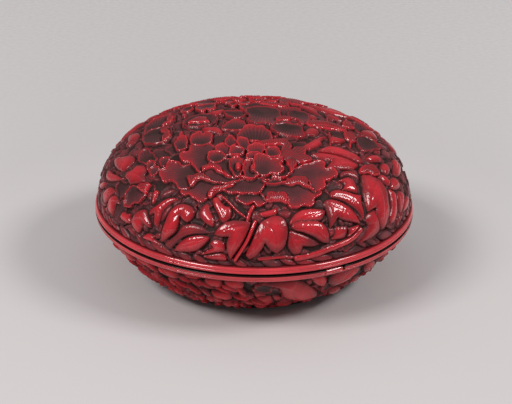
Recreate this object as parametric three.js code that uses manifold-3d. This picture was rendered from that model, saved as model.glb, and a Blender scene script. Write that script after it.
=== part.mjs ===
// A round covered box in carved red lacquer: a domed lid that lifts off a shallow footed bowl.
//
// Both halves are turned wood, wrapped in a ground of cloth and clay, coated outside with red
// lacquer thick enough to carve, and lined inside with thin black lacquer. A smooth moulding runs
// round each mouth, and a collar glued inside the bowl's mouth keeps the lid in place.
//
// Millimetres, +Z up. The origin is on the table, under the centre of the foot.

import * as THREE from "three";
import { mergeVertices } from "three/addons/utils/BufferGeometryUtils.js";
import loadManifold from "manifold-3d";

const manifold = await loadManifold();
manifold.setup();

// Overall sizes
const rimRadius = 75; // over the mouldings round the two mouths
const seamHeight = 32.4; // table to the middle of the dark line between the mouldings
const lidRise = 42.3; // from there to the crown of the lid
const footRadius = 46; // outside of the foot ring
const coatClearance = 0.8; // table to the lowest carved lacquer

// The layers of each half, from outside to inside
const coatThickness = 3.4;
const groundThickness = 0.7;
const coreThickness = 3;
const floorThickness = 3.6; // of the wooden bowl's flat floor
const liningThickness = 0.6;
const bond = 0.2; // glue line between two layers

// The carving of the coats
const carvingDepth = 2.6; // from the outside of a coat down to its bare ground
const carvingRoot = 3; // depth at which each carved form is rooted in the coat
const carvingOverrun = 2; // how far a form runs on past its root, until it is cut off there
const carvingGap = 0.8; // between two forms whose outlines touch
const carvingTolerance = 0.12; // how far a face may shift where small ones are joined

// The mouths
const mouldingHeight = 3.1;
const mouldingRound = 0.9; // radius of the moulding's outer corners
const mouldingGap = 0.6; // the dark line between the mouldings
const mouthGap = 0.3; // between the black faces of the two mouths, where the lid sits

// The collar inside the bowl's mouth
const collarThickness = 1.8;
const collarStand = 5.2; // above the middle of the dark line
const collarClearance = 0.4; // round the collar, for an easy fit inside the lid
const collarLead = 0.7; // bevel at the top, which guides the lid down

// The foot and the recess inside it
const footThickness = 4.2;
const footRound = 0.7; // radius of the foot's lower outside corner
const undersideThickness = 0.7;

// How square each curve of the outside is, where 2 is an ellipse
const lidSideSquareness = 2.57;
const lidCrownSquareness = 2.33;
const bowlSideSquareness = 1.69;
const bowlFloorSquareness = 0.97;

const facets = 40; // round every turned piece, alike so that nested layers stay clear of each other
const curveSteps = 8; // straight lengths along each curve

const carvedRed = { color: 0x8c1a20, roughness: 0.3, metalness: 0 };
const mouldingRed = { color: 0xa0262a, roughness: 0.32, metalness: 0 };
const lacquerBlack = { color: 0x17110f, roughness: 0.22, metalness: 0 };
const turnedWood = { color: 0x9a7650, roughness: 0.75, metalness: 0 };
const clothAndClay = { color: 0x62564a, roughness: 0.9, metalness: 0 };

// Outlines of the carved forms, by the height of their tops, where 1 is the outside of the coat.
// On the lid they are in hundredths of the way from the crown to the shoulder, to the right and to
// the back.
const leafEdgeShare = 0.8; // height of a leaf's edge, where 1 is its middle
const petalHollowShare = 0.45; // height of a petal's middle, where 1 is its rim

// The leaves on the front of the lid
const leafShares = [
  {
    heightShare: 0.5,
    outlineShares: [
      [[-31, -76.3], [-49.3, -82], [-47, -85.6], [-36, -82], [-21.5, -82.4]],
      [[57.5, -63], [60.8, -65.3], [59.3, -75.8], [70.5, -63.5], [71, -58], [65, -54], [60, -57]],
    ],
  },
  {
    heightShare: 0.7,
    outlineShares: [
      [[-42.5, -60.2], [-52, -62.5], [-50.3, -73.3], [-45.5, -66.5], [-36.3, -62.5]],
      [[17.2, -85], [18, -89], [24.2, -93.6], [26, -87.6], [35.6, -84.4], [18, -81.2]],
      [[86, -37.5], [91, -28], [90, -22], [85, -29]],
    ],
  },
  {
    heightShare: 0.85,
    outlineShares: [
      [[-31, -89.8], [-22.8, -85], [-35, -82.5], [-45, -86.6]],
      [[-14.5, -79], [-10.9, -70.6], [-19.4, -65.5]],
      [[31.5, -74.5], [34.6, -67.6], [21.5, -71], [17.3, -78.3]],
      [[-63.5, -70], [-58.5, -67], [-54.5, -71.5], [-54.8, -61.8], [-66, -61.8]],
      [[-82, -38], [-74, -38.5], [-80, -30.3], [-84, -29.3], [-87, -32.5]],
      [[-80.5, -49], [-74.5, -46], [-72, -48.5], [-77, -38.8], [-84, -41.5]],
      [[-77.5, -27], [-66.5, -35], [-78.5, -16]],
      [[-69, -26.5], [-66, -30], [-62, -29.5], [-59.3, -27], [-60, -22.5], [-73, -12]],
      [[-62.5, -41.5], [-53, -45.5], [-52.5, -36], [-58.5, -31.5], [-64, -32.3]],
      [[74, -52], [77.5, -54], [79.5, -45], [74, -36], [71, -36.3], [68, -38.5]],
      [[84, -41.5], [83, -31], [80, -29], [75.5, -36]],
      [[77.5, -16], [78, -9], [75, -5], [72, -8], [71, -24]],
      [[36.5, -60], [56.7, -64.3], [52, -52], [36, -57]],
      [[43, -50], [41.7, -53.6], [50, -52], [47.5, -45], [44.5, -44.4], [38.5, -50.5]],
      [[24.5, -30], [29.5, -26], [34.8, -13], [22, -28.5]],
      [[36, -35.5], [33.5, -41.5], [44, -39], [50, -33], [35, -30.3], [26.3, -33.5]],
      [[53, -29], [49, -25], [39, -23], [29, -30.5]],
      [[59, 2], [63, 6], [63, 13], [59, 15], [54, 4]],
    ],
  },
  {
    heightShare: 1,
    outlineShares: [
      [[-50, -80.5], [-40, -78], [-36.2, -71.3], [-32.3, -75.4], [-28.6, -72], [-29.5, -68.5],
        [-37, -65.5], [-41, -67.5]],
      [[-1.6, -78.8], [-14.5, -78.6], [-19.9, -83.4], [-12.6, -85.2], [-12.6, -96.4],
        [-6, -89.5]],
      [[-4, -94.5], [-2, -96.5], [5.8, -88.3], [12.4, -93.1], [15.8, -89.5], [14.5, -76],
        [11, -74.8], [3.5, -78.5]],
      [[39.8, -82.6], [35.5, -75], [31, -74], [18.3, -79.2]],
      [[38.5, -75.4], [41.3, -69], [55.3, -67], [45, -61.4], [35.3, -61.5], [33, -64]],
      [[53, -50], [57.8, -59], [62.3, -54], [71.3, -61.5], [73, -52], [66, -38.5], [59, -36.3],
        [52, -39]],
    ],
  },
];

// The hollow petals of its peonies
const petalShares = [
  {
    heightShare: 0.7,
    outlineShares: [
      [[-31, -7], [-24, -7], [-20, -3], [-19, 4], [-22, 10], [-28, 12], [-36, 2], [-35, -3]],
      [[16, 9], [23, -3], [27, 9], [25, 16], [20, 18], [16.5, 15]],
      [[-56.5, -29], [-50, -33.5], [-47.2, -32], [-48, -29], [-54.5, -20.5]],
      [[-8.5, -65.5], [-4.5, -69.9], [4.2, -70.1], [7, -64], [3, -62]],
      [[6, -67.8], [7.8, -62.5], [13, -62.3], [17.5, -70.2], [26, -67.6], [31, -58.5], [22, -54],
        [12, -54], [3, -58], [3, -64]],
    ],
  },
  {
    heightShare: 0.85,
    outlineShares: [
      [[-54.5, -14], [-47, -19], [-42, -18], [-42, -3], [-54, 1]],
      [[-4, 0], [-2, -4], [7, -6.5], [11, -1], [12, 14], [9, 20], [0, 21], [-4, 18]],
      [[52, -20], [63, -8], [62, -2], [56, 0], [51, -4]],
      [[7.5, -10], [10.5, -16.5], [19, -20.5], [23, -18.5], [22, -5], [14, -3], [9.5, -5]],
      [[-6.5, -12.5], [-4.5, -9], [-8, -1], [-12, -2], [-16, -12]],
      [[-67, -53], [-64.5, -55.2], [-54, -54.8], [-56, -47], [-61, -44.5], [-65, -46]],
      [[-34.5, -58.8], [-22.8, -66.2], [-20.6, -60.5], [-12, -55], [-20, -50], [-28, -52]],
      [[-15, -62], [3, -63.3], [5, -56], [0, -54], [-18, -59.2], [-21, -65]],
      [[-43, -50.5], [-38.3, -51.5], [-34, -58], [-24, -50], [-28, -42], [-33, -43], [-39, -37.5],
        [-44.8, -42.5]],
      [[27, -58.7], [30.8, -57.8], [38.6, -46.3], [38, -43.2], [32.8, -43.3], [30.5, -38.4],
        [14, -53], [5, -56], [24, -53]],
      [[-24, -53.5], [-17, -57.2], [-7, -56.3], [-12, -48], [-20, -46], [-30.5, -53.5],
        [-29.5, -57.3]],
      [[-25.3, -49.2], [-19, -45], [-17, -33.5], [-21, -28], [-28.5, -26.5], [-35.3, -34.5]],
      [[-31, -24], [-25, -28], [-21.5, -27], [-21, -17.5], [-27, -14.3]],
      [[-38.3, -21], [-36, -30], [-32.3, -23], [-35.5, -16]],
      [[-15.5, -38], [-11, -34], [-14.5, -28], [-18.5, -33]],
      [[-1, -38.5], [4, -35], [1, -28.5], [-3.5, -34]],
      [[-3, -56], [1, -51], [-1, -42], [-5, -46]],
    ],
  },
  {
    heightShare: 1,
    outlineShares: [
      [[0, -26], [7, -25], [5, -13], [-2.5, -8], [-8, -23]],
      [[2, -53.2], [12.5, -51], [12.7, -40], [10, -42], [4, -38.5], [0, -40]],
    ],
  },
];

// The leaves and petals round the bowl, which repeat three times. Across in degrees from the
// front, down in hundredths of the way from the shoulder to the foot.
const bowlRepeats = 3;
const bowlShares = [
  {
    heightShare: 0.75,
    outlineShares: [
      [[19, 2], [24, 5], [28, 22], [27, 34], [23, 22]],
      [[1, 46], [7, 42], [9, 58], [7, 80], [1, 74]],
      [[11, 68], [17, 69], [20, 84], [15, 90], [11, 82]],
      [[24, 70], [29, 72], [32, 88], [28, 92], [24, 82]],
      [[-50, 57], [-44, 58], [-46, 76], [-52, 78], [-54, 66]],
      [[46, 44], [50, 48], [55, 58], [53, 66], [48, 60]],
      [[55, 8], [59, 12], [62, 30], [60, 40], [57, 28]],
      [[-24, 4], [-19, 2], [-18, 14], [-20, 24], [-25, 18]],
      [[-45, 4], [-37, 2], [-36, 12], [-40, 23], [-46, 16]],
      [[-30, 25], [-26, 30], [-29, 46], [-34, 42], [-34, 30]],
      [[-52, 30], [-47, 32], [-49, 50], [-55, 52], [-55, 40]],
      [[-20, 56], [-15, 53], [-13, 66], [-17, 79], [-21, 70]],
    ],
  },
  {
    heightShare: 0.95,
    outlineShares: [
      [[2, 9], [15, 6], [21, 24], [28, 57], [20, 65], [13, 48], [9, 20]],
      [[30, 4], [37, 3], [41, 12], [40, 28], [35, 41], [31, 34], [28, 18]],
      [[43, 4], [48, 10], [53, 26], [54, 38], [49, 34], [45, 20]],
      [[33, 46], [38, 50], [44, 68], [45, 80], [40, 76], [35, 62]],
      [[-9, 4], [-4, 2], [-3, 14], [-5, 27], [-8, 31], [-10, 16]],
      [[-16, 5], [-11, 4], [-10, 18], [-13, 28], [-17, 18]],
      [[-34, 2], [-27, 4], [-26, 14], [-30, 22], [-35, 12]],
      [[-57, 4], [-48, 6], [-48, 18], [-53, 27], [-58, 14]],
      [[-42, 26], [-37, 27], [-37, 44], [-42, 55], [-44, 40]],
      [[-16, 34], [-9, 32], [-8, 46], [-12, 54], [-15, 48]],
      [[-5, 34], [-1, 30], [0, 44], [-3, 55], [-6, 44]],
      [[-40, 58], [-33, 50], [-30, 62], [-36, 80], [-42, 76]],
      [[-29, 52], [-24, 55], [-23, 68], [-28, 84], [-31, 68]],
      [[-11, 58], [-5, 62], [-6, 76], [-11, 84], [-14, 70]],
    ],
  },
];

// How far each layer's outer face lies below the outside of the carved coat
const groundDepth = coatThickness + bond;
const coreDepth = groundDepth + groundThickness + bond;
const liningDepth = coreDepth + coreThickness + bond;
const cavityDepth = liningDepth + liningThickness;

// Heights above the table, and radii, that several pieces share
const crown = seamHeight + lidRise;
const lidMouth = seamHeight + mouthGap / 2;
const lidMoulding = seamHeight + mouldingGap / 2;
const lidShoulder = lidMoulding + mouldingHeight + bond;
const bowlMouth = seamHeight - mouthGap / 2;
const bowlMoulding = seamHeight - mouldingGap / 2 - mouldingHeight;
const bowlShoulder = bowlMoulding - bond;
const coreUnderside = coatClearance + coreDepth;
const coreFloor = coreUnderside + floorThickness;
const footHeight = coreUnderside - bond;
const coatEnd = footRadius + bond; // where the bowl's curve meets the foot

// A quarter of a superellipse from (across, 0) to (0, along), as [across, along] pairs.
function quarterCurve(across, along, acrossSquareness, alongSquareness) {
  return Array.from({ length: curveSteps + 1 }, (_, step) => {
    const turn = ((step / curveSteps) * Math.PI) / 2;
    const acrossShare = step < curveSteps ? Math.cos(turn) ** (2 / acrossSquareness) : 0;
    const alongShare = Math.sin(turn) ** (2 / alongSquareness);
    return [across * acrossShare, along * alongShare];
  });
}

// The lid's curve at a depth below the carved coat's outside, from the shoulder up to the axis.
function lidCurve(depth) {
  const rise = crown - depth - lidShoulder;
  const quarter = quarterCurve(rimRadius - depth, rise, lidSideSquareness, lidCrownSquareness);
  return quarter.map(([radius, up]) => [radius, lidShoulder + up]);
}

// The bowl's curve at a depth below the carved coat's outside, from the foot up to the shoulder.
function bowlCurve(depth, bottom) {
  const drop = bowlShoulder - bottom;
  const flare = rimRadius - depth - coatEnd;
  const quarter = quarterCurve(flare, drop, bowlSideSquareness, bowlFloorSquareness);
  return quarter.map(([radius, down]) => [coatEnd + radius, bowlShoulder - down]).reverse();
}

// The geometry of a closed solid turned about +Z. The outline's [radius, height] points run up
// the outside and down the inside, from the axis to the axis or once round a ring.
function turnedGeometry(outline) {
  const onAxis = outline[0][0] === 0;
  const profile = onAxis ? outline : [...outline, outline[0]];
  const points = profile.map(([radius, height]) => new THREE.Vector2(radius, height));
  return new THREE.LatheGeometry(points, facets).rotateX(Math.PI / 2);
}

// A named piece of the box, with its finish.
function piece(name, finish, geometry) {
  const mesh = new THREE.Mesh(geometry, new THREE.MeshStandardMaterial(finish));
  mesh.name = name;
  return mesh;
}

// A piece turned about +Z.
function turned(name, finish, outline) {
  return piece(name, finish, turnedGeometry(outline));
}

// A solid that can be joined to others, from a closed geometry.
function solidOf(geometry) {
  geometry.deleteAttribute("normal");
  geometry.deleteAttribute("uv");
  const merged = mergeVertices(geometry);
  const corners = merged.index.array;
  const triangles = [];
  for (let i = 0; i < corners.length; i += 3) {
    const [a, b, c] = corners.slice(i, i + 3);
    if (a !== b && b !== c && c !== a) triangles.push(a, b, c);
  }
  const mesh = new manifold.Mesh({
    numProp: 3,
    vertProperties: new Float32Array(merged.attributes.position.array),
    triVerts: new Uint32Array(triangles),
  });
  return new manifold.Manifold(mesh);
}

// The geometry of a joined solid.
function geometryOf(solid) {
  const mesh = solid.getMesh();
  const geometry = new THREE.BufferGeometry();
  geometry.setAttribute("position", new THREE.BufferAttribute(mesh.vertProperties, 3));
  geometry.setIndex(new THREE.BufferAttribute(mesh.triVerts, 1));
  geometry.computeVertexNormals();
  return geometry;
}

// A curve of [radius, height] points that can be read by the length passed along it. The point
// read lies below the curve by a depth.
function ruled(curve) {
  const passed = [0];
  for (let i = 1; i < curve.length; i += 1) {
    const [from, to] = [curve[i - 1], curve[i]];
    passed.push(passed[i - 1] + Math.hypot(to[0] - from[0], to[1] - from[1]));
  }
  const length = passed.at(-1);
  const read = (at, depth) => {
    const within = Math.min(Math.max(at, 0), length);
    const i = Math.max(passed.findIndex((far) => far >= within), 1);
    const [from, to] = [curve[i - 1], curve[i]];
    const run = passed[i] - passed[i - 1];
    const share = (within - passed[i - 1]) / run;
    const [across, up] = [to[0] - from[0], to[1] - from[1]];
    const radius = from[0] + share * across - (depth * up) / run;
    return [Math.max(radius, 0), from[1] + share * up + (depth * across) / run];
  };
  return { length, read };
}

// The middle of an outline.
function middleOf(outline) {
  const sums = outline.reduce(([sumX, sumY], [x, y]) => [sumX + x, sumY + y], [0, 0]);
  return sums.map((sum) => sum / outline.length);
}

// An outline drawn in towards its middle by a distance, anticlockwise.
function drawnIn(outline, distance) {
  const [middleX, middleY] = middleOf(outline);
  const drawn = outline.map(([x, y]) => {
    const share = 1 - distance / Math.hypot(x - middleX, y - middleY);
    return [middleX + (x - middleX) * share, middleY + (y - middleY) * share];
  });
  const flat = drawn.map(([x, y]) => new THREE.Vector2(x, y));
  return THREE.ShapeUtils.isClockWise(flat) ? drawn.reverse() : drawn;
}

// One carved form, rooted in the coat. place gives the point of the coat under a point of the
// outline, at a depth.
function carvedForm({ outline, edgeShare, middleShare }, place) {
  const line = drawnIn(outline, carvingGap / 2);
  const count = line.length;
  const middle = middleOf(line);
  const points = [
    ...line.map((point) => place(point, carvingRoot + carvingOverrun)),
    ...line.map((point) => place(point, carvingDepth * (1 - edgeShare))),
    place(middle, carvingRoot + carvingOverrun),
    place(middle, carvingDepth * (1 - middleShare)),
  ];
  const root = 2 * count;
  const top = root + 1;
  const faces = [];
  for (let here = 0; here < count; here += 1) {
    const next = (here + 1) % count;
    faces.push(here, next, next + count, here, next + count, here + count);
    faces.push(here, root, next, here + count, next + count, top);
  }
  const geometry = new THREE.BufferGeometry();
  geometry.setAttribute("position", new THREE.Float32BufferAttribute(points.flat(), 3));
  geometry.setIndex(faces);
  return solidOf(geometry);
}

// A coat with forms raised on its bare ground. layer gives the outline of the part of the coat
// between two depths.
function carved(name, forms, layer, place) {
  const rooted = solidOf(turnedGeometry(layer(-carvingOverrun, carvingRoot)));
  const bare = solidOf(turnedGeometry(layer(carvingDepth, coatThickness)));
  const solids = forms.map((form) => carvedForm(form, place).intersect(rooted));
  const coat = solids.reduce((joined, solid) => joined.add(solid), bare);
  return piece(name, carvedRed, geometryOf(coat.simplify(carvingTolerance)));
}

// The forms in a table, with their outlines drawn to size.
function formsOf(table, edgeRatio, middleRatio, drawn) {
  return table.flatMap(({ heightShare, outlineShares }) =>
    outlineShares.map((outline) => ({
      outline: outline.map(drawn),
      edgeShare: heightShare * edgeRatio,
      middleShare: heightShare * middleRatio,
    })),
  );
}

// Points that round off the corner of a band's outside: side is +1 at its top, -1 at its foot.
function roundedCorner(radius, height, round, side) {
  const flat = [radius - round, height];
  const middle = [radius - round * (1 - Math.SQRT1_2), height - side * round * (1 - Math.SQRT1_2)];
  const upright = [radius, height - side * round];
  return side > 0 ? [upright, middle, flat] : [flat, middle, upright];
}

// The carved coat over the lid, down to the moulding. The forms of the front come again, mirrored,
// at the back, where those of the front lie over them.
function lidCoat() {
  const { length, read } = ruled(lidCurve(0));
  const place = ([x, y], depth) => {
    const away = Math.hypot(x, y);
    const [radius, height] = read(length - away, depth);
    return away > 0 ? [(radius * x) / away, (radius * y) / away, height] : [0, 0, height];
  };
  const forms = [-1, 1].flatMap((side) => {
    const drawn = ([right, back]) => [(right / 100) * length, ((side * back) / 100) * length];
    return [
      ...formsOf(leafShares, leafEdgeShare, 1, drawn),
      ...formsOf(petalShares, 1, petalHollowShare, drawn),
    ];
  });
  const layer = (outer, inner) => [...lidCurve(inner).reverse(), ...lidCurve(outer)];
  return carved("lid_carved_coat", forms, layer, place);
}

// A layer of the lid that runs on behind the moulding, down to the black face of the mouth.
function lidLayer(name, finish, depth, thickness) {
  const edge = lidMouth + liningThickness + bond;
  const outer = rimRadius - depth;
  const mouth = [
    [outer - thickness, edge],
    [outer, edge],
  ];
  const inside = lidCurve(depth + thickness).reverse();
  return turned(name, finish, [...inside, ...mouth, ...lidCurve(depth)]);
}

// The black lining of the lid, which turns outwards over the mouth's face.
function lidLining() {
  const mouth = [
    [rimRadius - cavityDepth, lidMouth],
    [rimRadius - groundDepth, lidMouth],
    [rimRadius - groundDepth, lidMouth + liningThickness],
    [rimRadius - liningDepth, lidMouth + liningThickness],
  ];
  const inside = lidCurve(cavityDepth).reverse();
  return turned("lid_lining", lacquerBlack, [...inside, ...mouth, ...lidCurve(liningDepth)]);
}

// A smooth band round a mouth, standing on the given height.
function moulding(name, foot) {
  const inner = rimRadius - coatThickness;
  return turned(name, mouldingRed, [
    [inner, foot],
    ...roundedCorner(rimRadius, foot, mouldingRound, -1),
    ...roundedCorner(rimRadius, foot + mouldingHeight, mouldingRound, 1),
    [inner, foot + mouldingHeight],
  ]);
}

// The carved coat round the bowl, from the foot up to the moulding.
function bowlCoat() {
  const { length, read } = ruled(bowlCurve(0, coatClearance));
  const front = -Math.PI / 2;
  const place = ([across, along], depth) => {
    const [radius, height] = read(length + along, depth);
    const turn = front + across / rimRadius;
    return [radius * Math.cos(turn), radius * Math.sin(turn), height];
  };
  const forms = Array.from({ length: bowlRepeats }, (_, repeat) => {
    const start = (360 / bowlRepeats) * repeat;
    const drawn = ([degrees, down]) => [
      THREE.MathUtils.degToRad(start + degrees) * rimRadius,
      (-down / 100) * length,
    ];
    return formsOf(bowlShares, leafEdgeShare, 1, drawn);
  }).flat();
  const layer = (outer, inner) => [
    ...bowlCurve(outer, coatClearance + outer),
    ...bowlCurve(inner, coatClearance + inner).reverse(),
  ];
  return carved("bowl_carved_coat", forms, layer, place);
}

// The cloth and clay round the bowl, from the foot up behind the moulding.
function bowlGround() {
  const depth = groundDepth + groundThickness;
  const edge = bowlMouth - liningThickness - bond;
  const mouth = [
    [rimRadius - groundDepth, edge],
    [rimRadius - depth, edge],
  ];
  const inside = bowlCurve(depth, coatClearance + depth).reverse();
  const outside = bowlCurve(groundDepth, coatClearance + groundDepth);
  return turned("bowl_cloth_ground", clothAndClay, [...outside, ...mouth, ...inside]);
}

// The turned wooden bowl, flat underneath where the foot is glued on.
function bowlCore() {
  const depth = coreDepth + coreThickness;
  const edge = bowlMouth - liningThickness - bond;
  const mouth = [
    [rimRadius - coreDepth, edge],
    [rimRadius - depth, edge],
  ];
  const outside = [[0, coreUnderside], ...bowlCurve(coreDepth, coreUnderside)];
  const inside = [...bowlCurve(depth, coreFloor).reverse(), [0, coreFloor]];
  return turned("bowl_core", turnedWood, [...outside, ...mouth, ...inside]);
}

// The black lining of the bowl, which turns outwards over the mouth's face.
function bowlLining() {
  const underside = coreFloor + bond;
  const floor = underside + liningThickness;
  const mouth = [
    [rimRadius - liningDepth, bowlMouth - liningThickness],
    [rimRadius - groundDepth, bowlMouth - liningThickness],
    [rimRadius - groundDepth, bowlMouth],
    [rimRadius - cavityDepth, bowlMouth],
  ];
  const outside = [[0, underside], ...bowlCurve(liningDepth, underside)];
  const inside = [...bowlCurve(cavityDepth, floor).reverse(), [0, floor]];
  return turned("bowl_lining", lacquerBlack, [...outside, ...mouth, ...inside]);
}

// The upright ring glued inside the bowl's mouth, which stands up into the lid.
function collar() {
  const outer = rimRadius - cavityDepth - collarClearance;
  const inner = outer - collarThickness;
  const top = seamHeight + collarStand;
  return turned("collar", lacquerBlack, [
    [inner, bowlShoulder],
    [outer, bowlShoulder],
    [outer, top - collarLead],
    [outer - collarLead, top],
    [inner, top],
  ]);
}

// The ring that the box stands on, glued under the bowl.
function footRing() {
  const inner = footRadius - footThickness;
  return turned("foot_ring", lacquerBlack, [
    [inner, 0],
    ...roundedCorner(footRadius, 0, footRound, -1),
    [footRadius, footHeight],
    [inner, footHeight],
  ]);
}

// The black coat on the bowl's underside, inside the foot.
function undersideCoat() {
  const radius = footRadius - footThickness - bond;
  const underside = footHeight - undersideThickness;
  return turned("underside_coat", lacquerBlack, [
    [0, underside],
    [radius, underside],
    [radius, footHeight],
    [0, footHeight],
  ]);
}

const lid = new THREE.Group();
lid.add(
  lidCoat(),
  moulding("lid_moulding", lidMoulding),
  lidLayer("lid_cloth_ground", clothAndClay, groundDepth, groundThickness),
  lidLayer("lid_core", turnedWood, coreDepth, coreThickness),
  lidLining(),
);

const bowl = new THREE.Group();
bowl.add(
  bowlCoat(),
  moulding("bowl_moulding", bowlMoulding),
  bowlGround(),
  bowlCore(),
  bowlLining(),
  collar(),
  footRing(),
  undersideCoat(),
);

const box = new THREE.Group();
box.add(lid, bowl);

export default box;
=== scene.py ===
"""A round covered box in carved red lacquer, dressed for its final look.

The lid and the bowl carry a thick coat of red lacquer, carved with peonies and their leaves down to
a dark ground. Each carved coat is a height field: the motifs are painted one over another, from the
ground up, on a plan of the surface, and the plan is then laid on the turned curve of the wood.
Plans are in millimetres, pieces in metres.
"""

import logging
import math
from dataclasses import dataclass, replace
from enum import Enum

import bpy
import numpy as np
from mathutils import Matrix, Vector


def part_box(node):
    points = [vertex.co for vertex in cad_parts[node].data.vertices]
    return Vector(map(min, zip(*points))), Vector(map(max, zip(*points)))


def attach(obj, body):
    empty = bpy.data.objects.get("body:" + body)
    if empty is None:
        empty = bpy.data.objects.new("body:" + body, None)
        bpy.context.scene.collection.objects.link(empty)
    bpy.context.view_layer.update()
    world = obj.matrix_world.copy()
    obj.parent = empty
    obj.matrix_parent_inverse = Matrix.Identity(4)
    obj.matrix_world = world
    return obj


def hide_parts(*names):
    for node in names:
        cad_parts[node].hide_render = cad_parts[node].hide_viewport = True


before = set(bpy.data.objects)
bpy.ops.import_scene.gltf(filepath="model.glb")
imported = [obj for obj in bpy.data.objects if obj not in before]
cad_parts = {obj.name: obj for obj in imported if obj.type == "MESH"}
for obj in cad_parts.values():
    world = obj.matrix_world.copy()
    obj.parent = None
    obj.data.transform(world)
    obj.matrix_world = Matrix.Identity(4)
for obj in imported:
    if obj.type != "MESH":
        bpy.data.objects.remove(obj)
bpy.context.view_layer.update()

log = logging.getLogger("covered_box")

Array = np.ndarray
Colour = tuple[float, float, float]
Piece = bpy.types.Object
Socket = bpy.types.NodeSocket

# Each point of a path is a complex number: its place across, and along as the imaginary part
Path = tuple[complex, ...]

MM = 0.001
TURN = 2 * math.pi
PHOTO_WIDTH = 512

# The groove that the knife leaves round a motif: its width in millimetres, and how much painted shade darkens
# it
GROOVE_WIDTH = 0.45
GROOVE_SHADE = 0.5


class Body(Enum):
    """The two halves that the pieces ride on."""

    LID = "lid"
    BOWL = "bowl"


class Slot(Enum):
    """The finishes of the dressed pieces, as the record names them."""

    CARVED = "carved_red_lacquer"
    SMOOTH = "smooth_red_lacquer"
    BLACK = "black_lacquer"


def smooth_step(value: Array, start: float, end: float) -> Array:
    """A soft step in a value, from 0 at start to 1 at end."""
    share = np.clip((value - start) / (end - start), 0, 1)
    return share * share * (3 - 2 * share)


def as_rows(points: Path) -> Array:
    """The points of a path as rows of two numbers, across and along."""
    return np.stack([np.real(points), np.imag(points)], 1)


def smooth_line(points: Path, corners: tuple[int, ...] = (), closed: bool = True, steps: int = 5) -> Array:
    """A smooth line through some points.

    Args:
        points: What the line passes through.
        corners: Which of the points are sharp corners.
        closed: Whether the line comes back to its first point.
        steps: Straight lengths from each point to the next.

    Returns:
        The points of the line, one row each.
    """
    knots = as_rows(points)
    count = len(knots)
    sharp = set(corners) if closed else set(corners) | {0, count - 1}
    first = np.arange(count if closed else count - 1)
    second = (first + 1) % count
    here, there = knots[first], knots[second]
    starts_sharp = np.isin(first, list(sharp))[:, None]
    ends_sharp = np.isin(second, list(sharp))[:, None]
    before = np.where(starts_sharp, 2 * here - there, knots[first - 1])
    after = np.where(ends_sharp, 2 * there - here, knots[(second + 1) % count])
    gaps = [np.sqrt(np.linalg.norm(b - a, axis=1))[:, None] for a, b in
            ((before, here), (here, there), (there, after))]
    lead = (here - before) / gaps[0] - (there - before) / (gaps[0] + gaps[1]) + (there - here) / gaps[1]
    trail = (there - here) / gaps[1] - (after - here) / (gaps[1] + gaps[2]) + (after - there) / gaps[2]
    lead, trail = lead * gaps[1], trail * gaps[1]
    lengths = []
    for t in np.arange(steps) / steps:
        lengths.append((2 * t**3 - 3 * t**2 + 1) * here + (t**3 - 2 * t**2 + t) * lead
                       + (3 * t**2 - 2 * t**3) * there + (t**3 - t**2) * trail)
    line = np.stack(lengths, 1).reshape(-1, 2)
    return line if closed else np.vstack([line, knots[-1]])


def measure_line(x: Array, y: Array, line: Array, closed: bool) -> tuple[Array, Array, Array]:
    """Measures points against a line.

    Args:
        x: Where the points are across.
        y: Where they are along.
        line: The points of the line, one row each.
        closed: Whether the line comes back to its first point.

    Returns:
        How far each point is from the line, how far along the line its nearest place is, and
        whether it is inside.
    """
    start = line if closed else line[:-1]
    end = np.roll(line, -1, 0) if closed else line[1:]
    gap = np.full(len(x), np.inf)
    along = np.zeros(len(x))
    inside = np.zeros(len(x), bool)
    passed = 0.0
    for (start_x, start_y), (end_x, end_y) in zip(start, end):
        run_x, run_y = end_x - start_x, end_y - start_y
        length = math.hypot(run_x, run_y)
        if length == 0:
            continue
        off_x, off_y = x - start_x, y - start_y
        share = np.clip((off_x * run_x + off_y * run_y) / length**2, 0, 1)
        away = (off_x - share * run_x) ** 2 + (off_y - share * run_y) ** 2
        closer = away < gap
        gap = np.where(closer, away, gap)
        along = np.where(closer, passed + share * length, along)
        passed += length
        if run_y != 0:
            crosses = ((start_y > y) != (end_y > y)) & (off_x < off_y * run_x / run_y)
            inside ^= crosses
    return np.sqrt(gap), along, inside


@dataclass(frozen=True)
class Place:
    """Where a motif lies on the plan, in millimetres, and how large, turned or mirrored it is."""

    x: float = 0.0
    y: float = 0.0
    size: float = 1.0
    turn: float = 0.0
    mirrored: bool = False

    def put(self, points: Array) -> Array:
        """The points of a motif, moved to this place.

        Args:
            points: One row each, in the motif's own units.

        Returns:
            The points on the plan, one row each.
        """
        cos, sin = math.cos(self.turn), math.sin(self.turn)
        across = points[:, 0] * (-self.size if self.mirrored else self.size)
        along = points[:, 1] * self.size
        return np.stack([self.x + across * cos - along * sin, self.y + across * sin + along * cos], 1)


@dataclass
class Patch:
    """The part of a plan that one motif touches."""

    index: Array
    x: Array
    y: Array
    inside: Array
    along: Array


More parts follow.
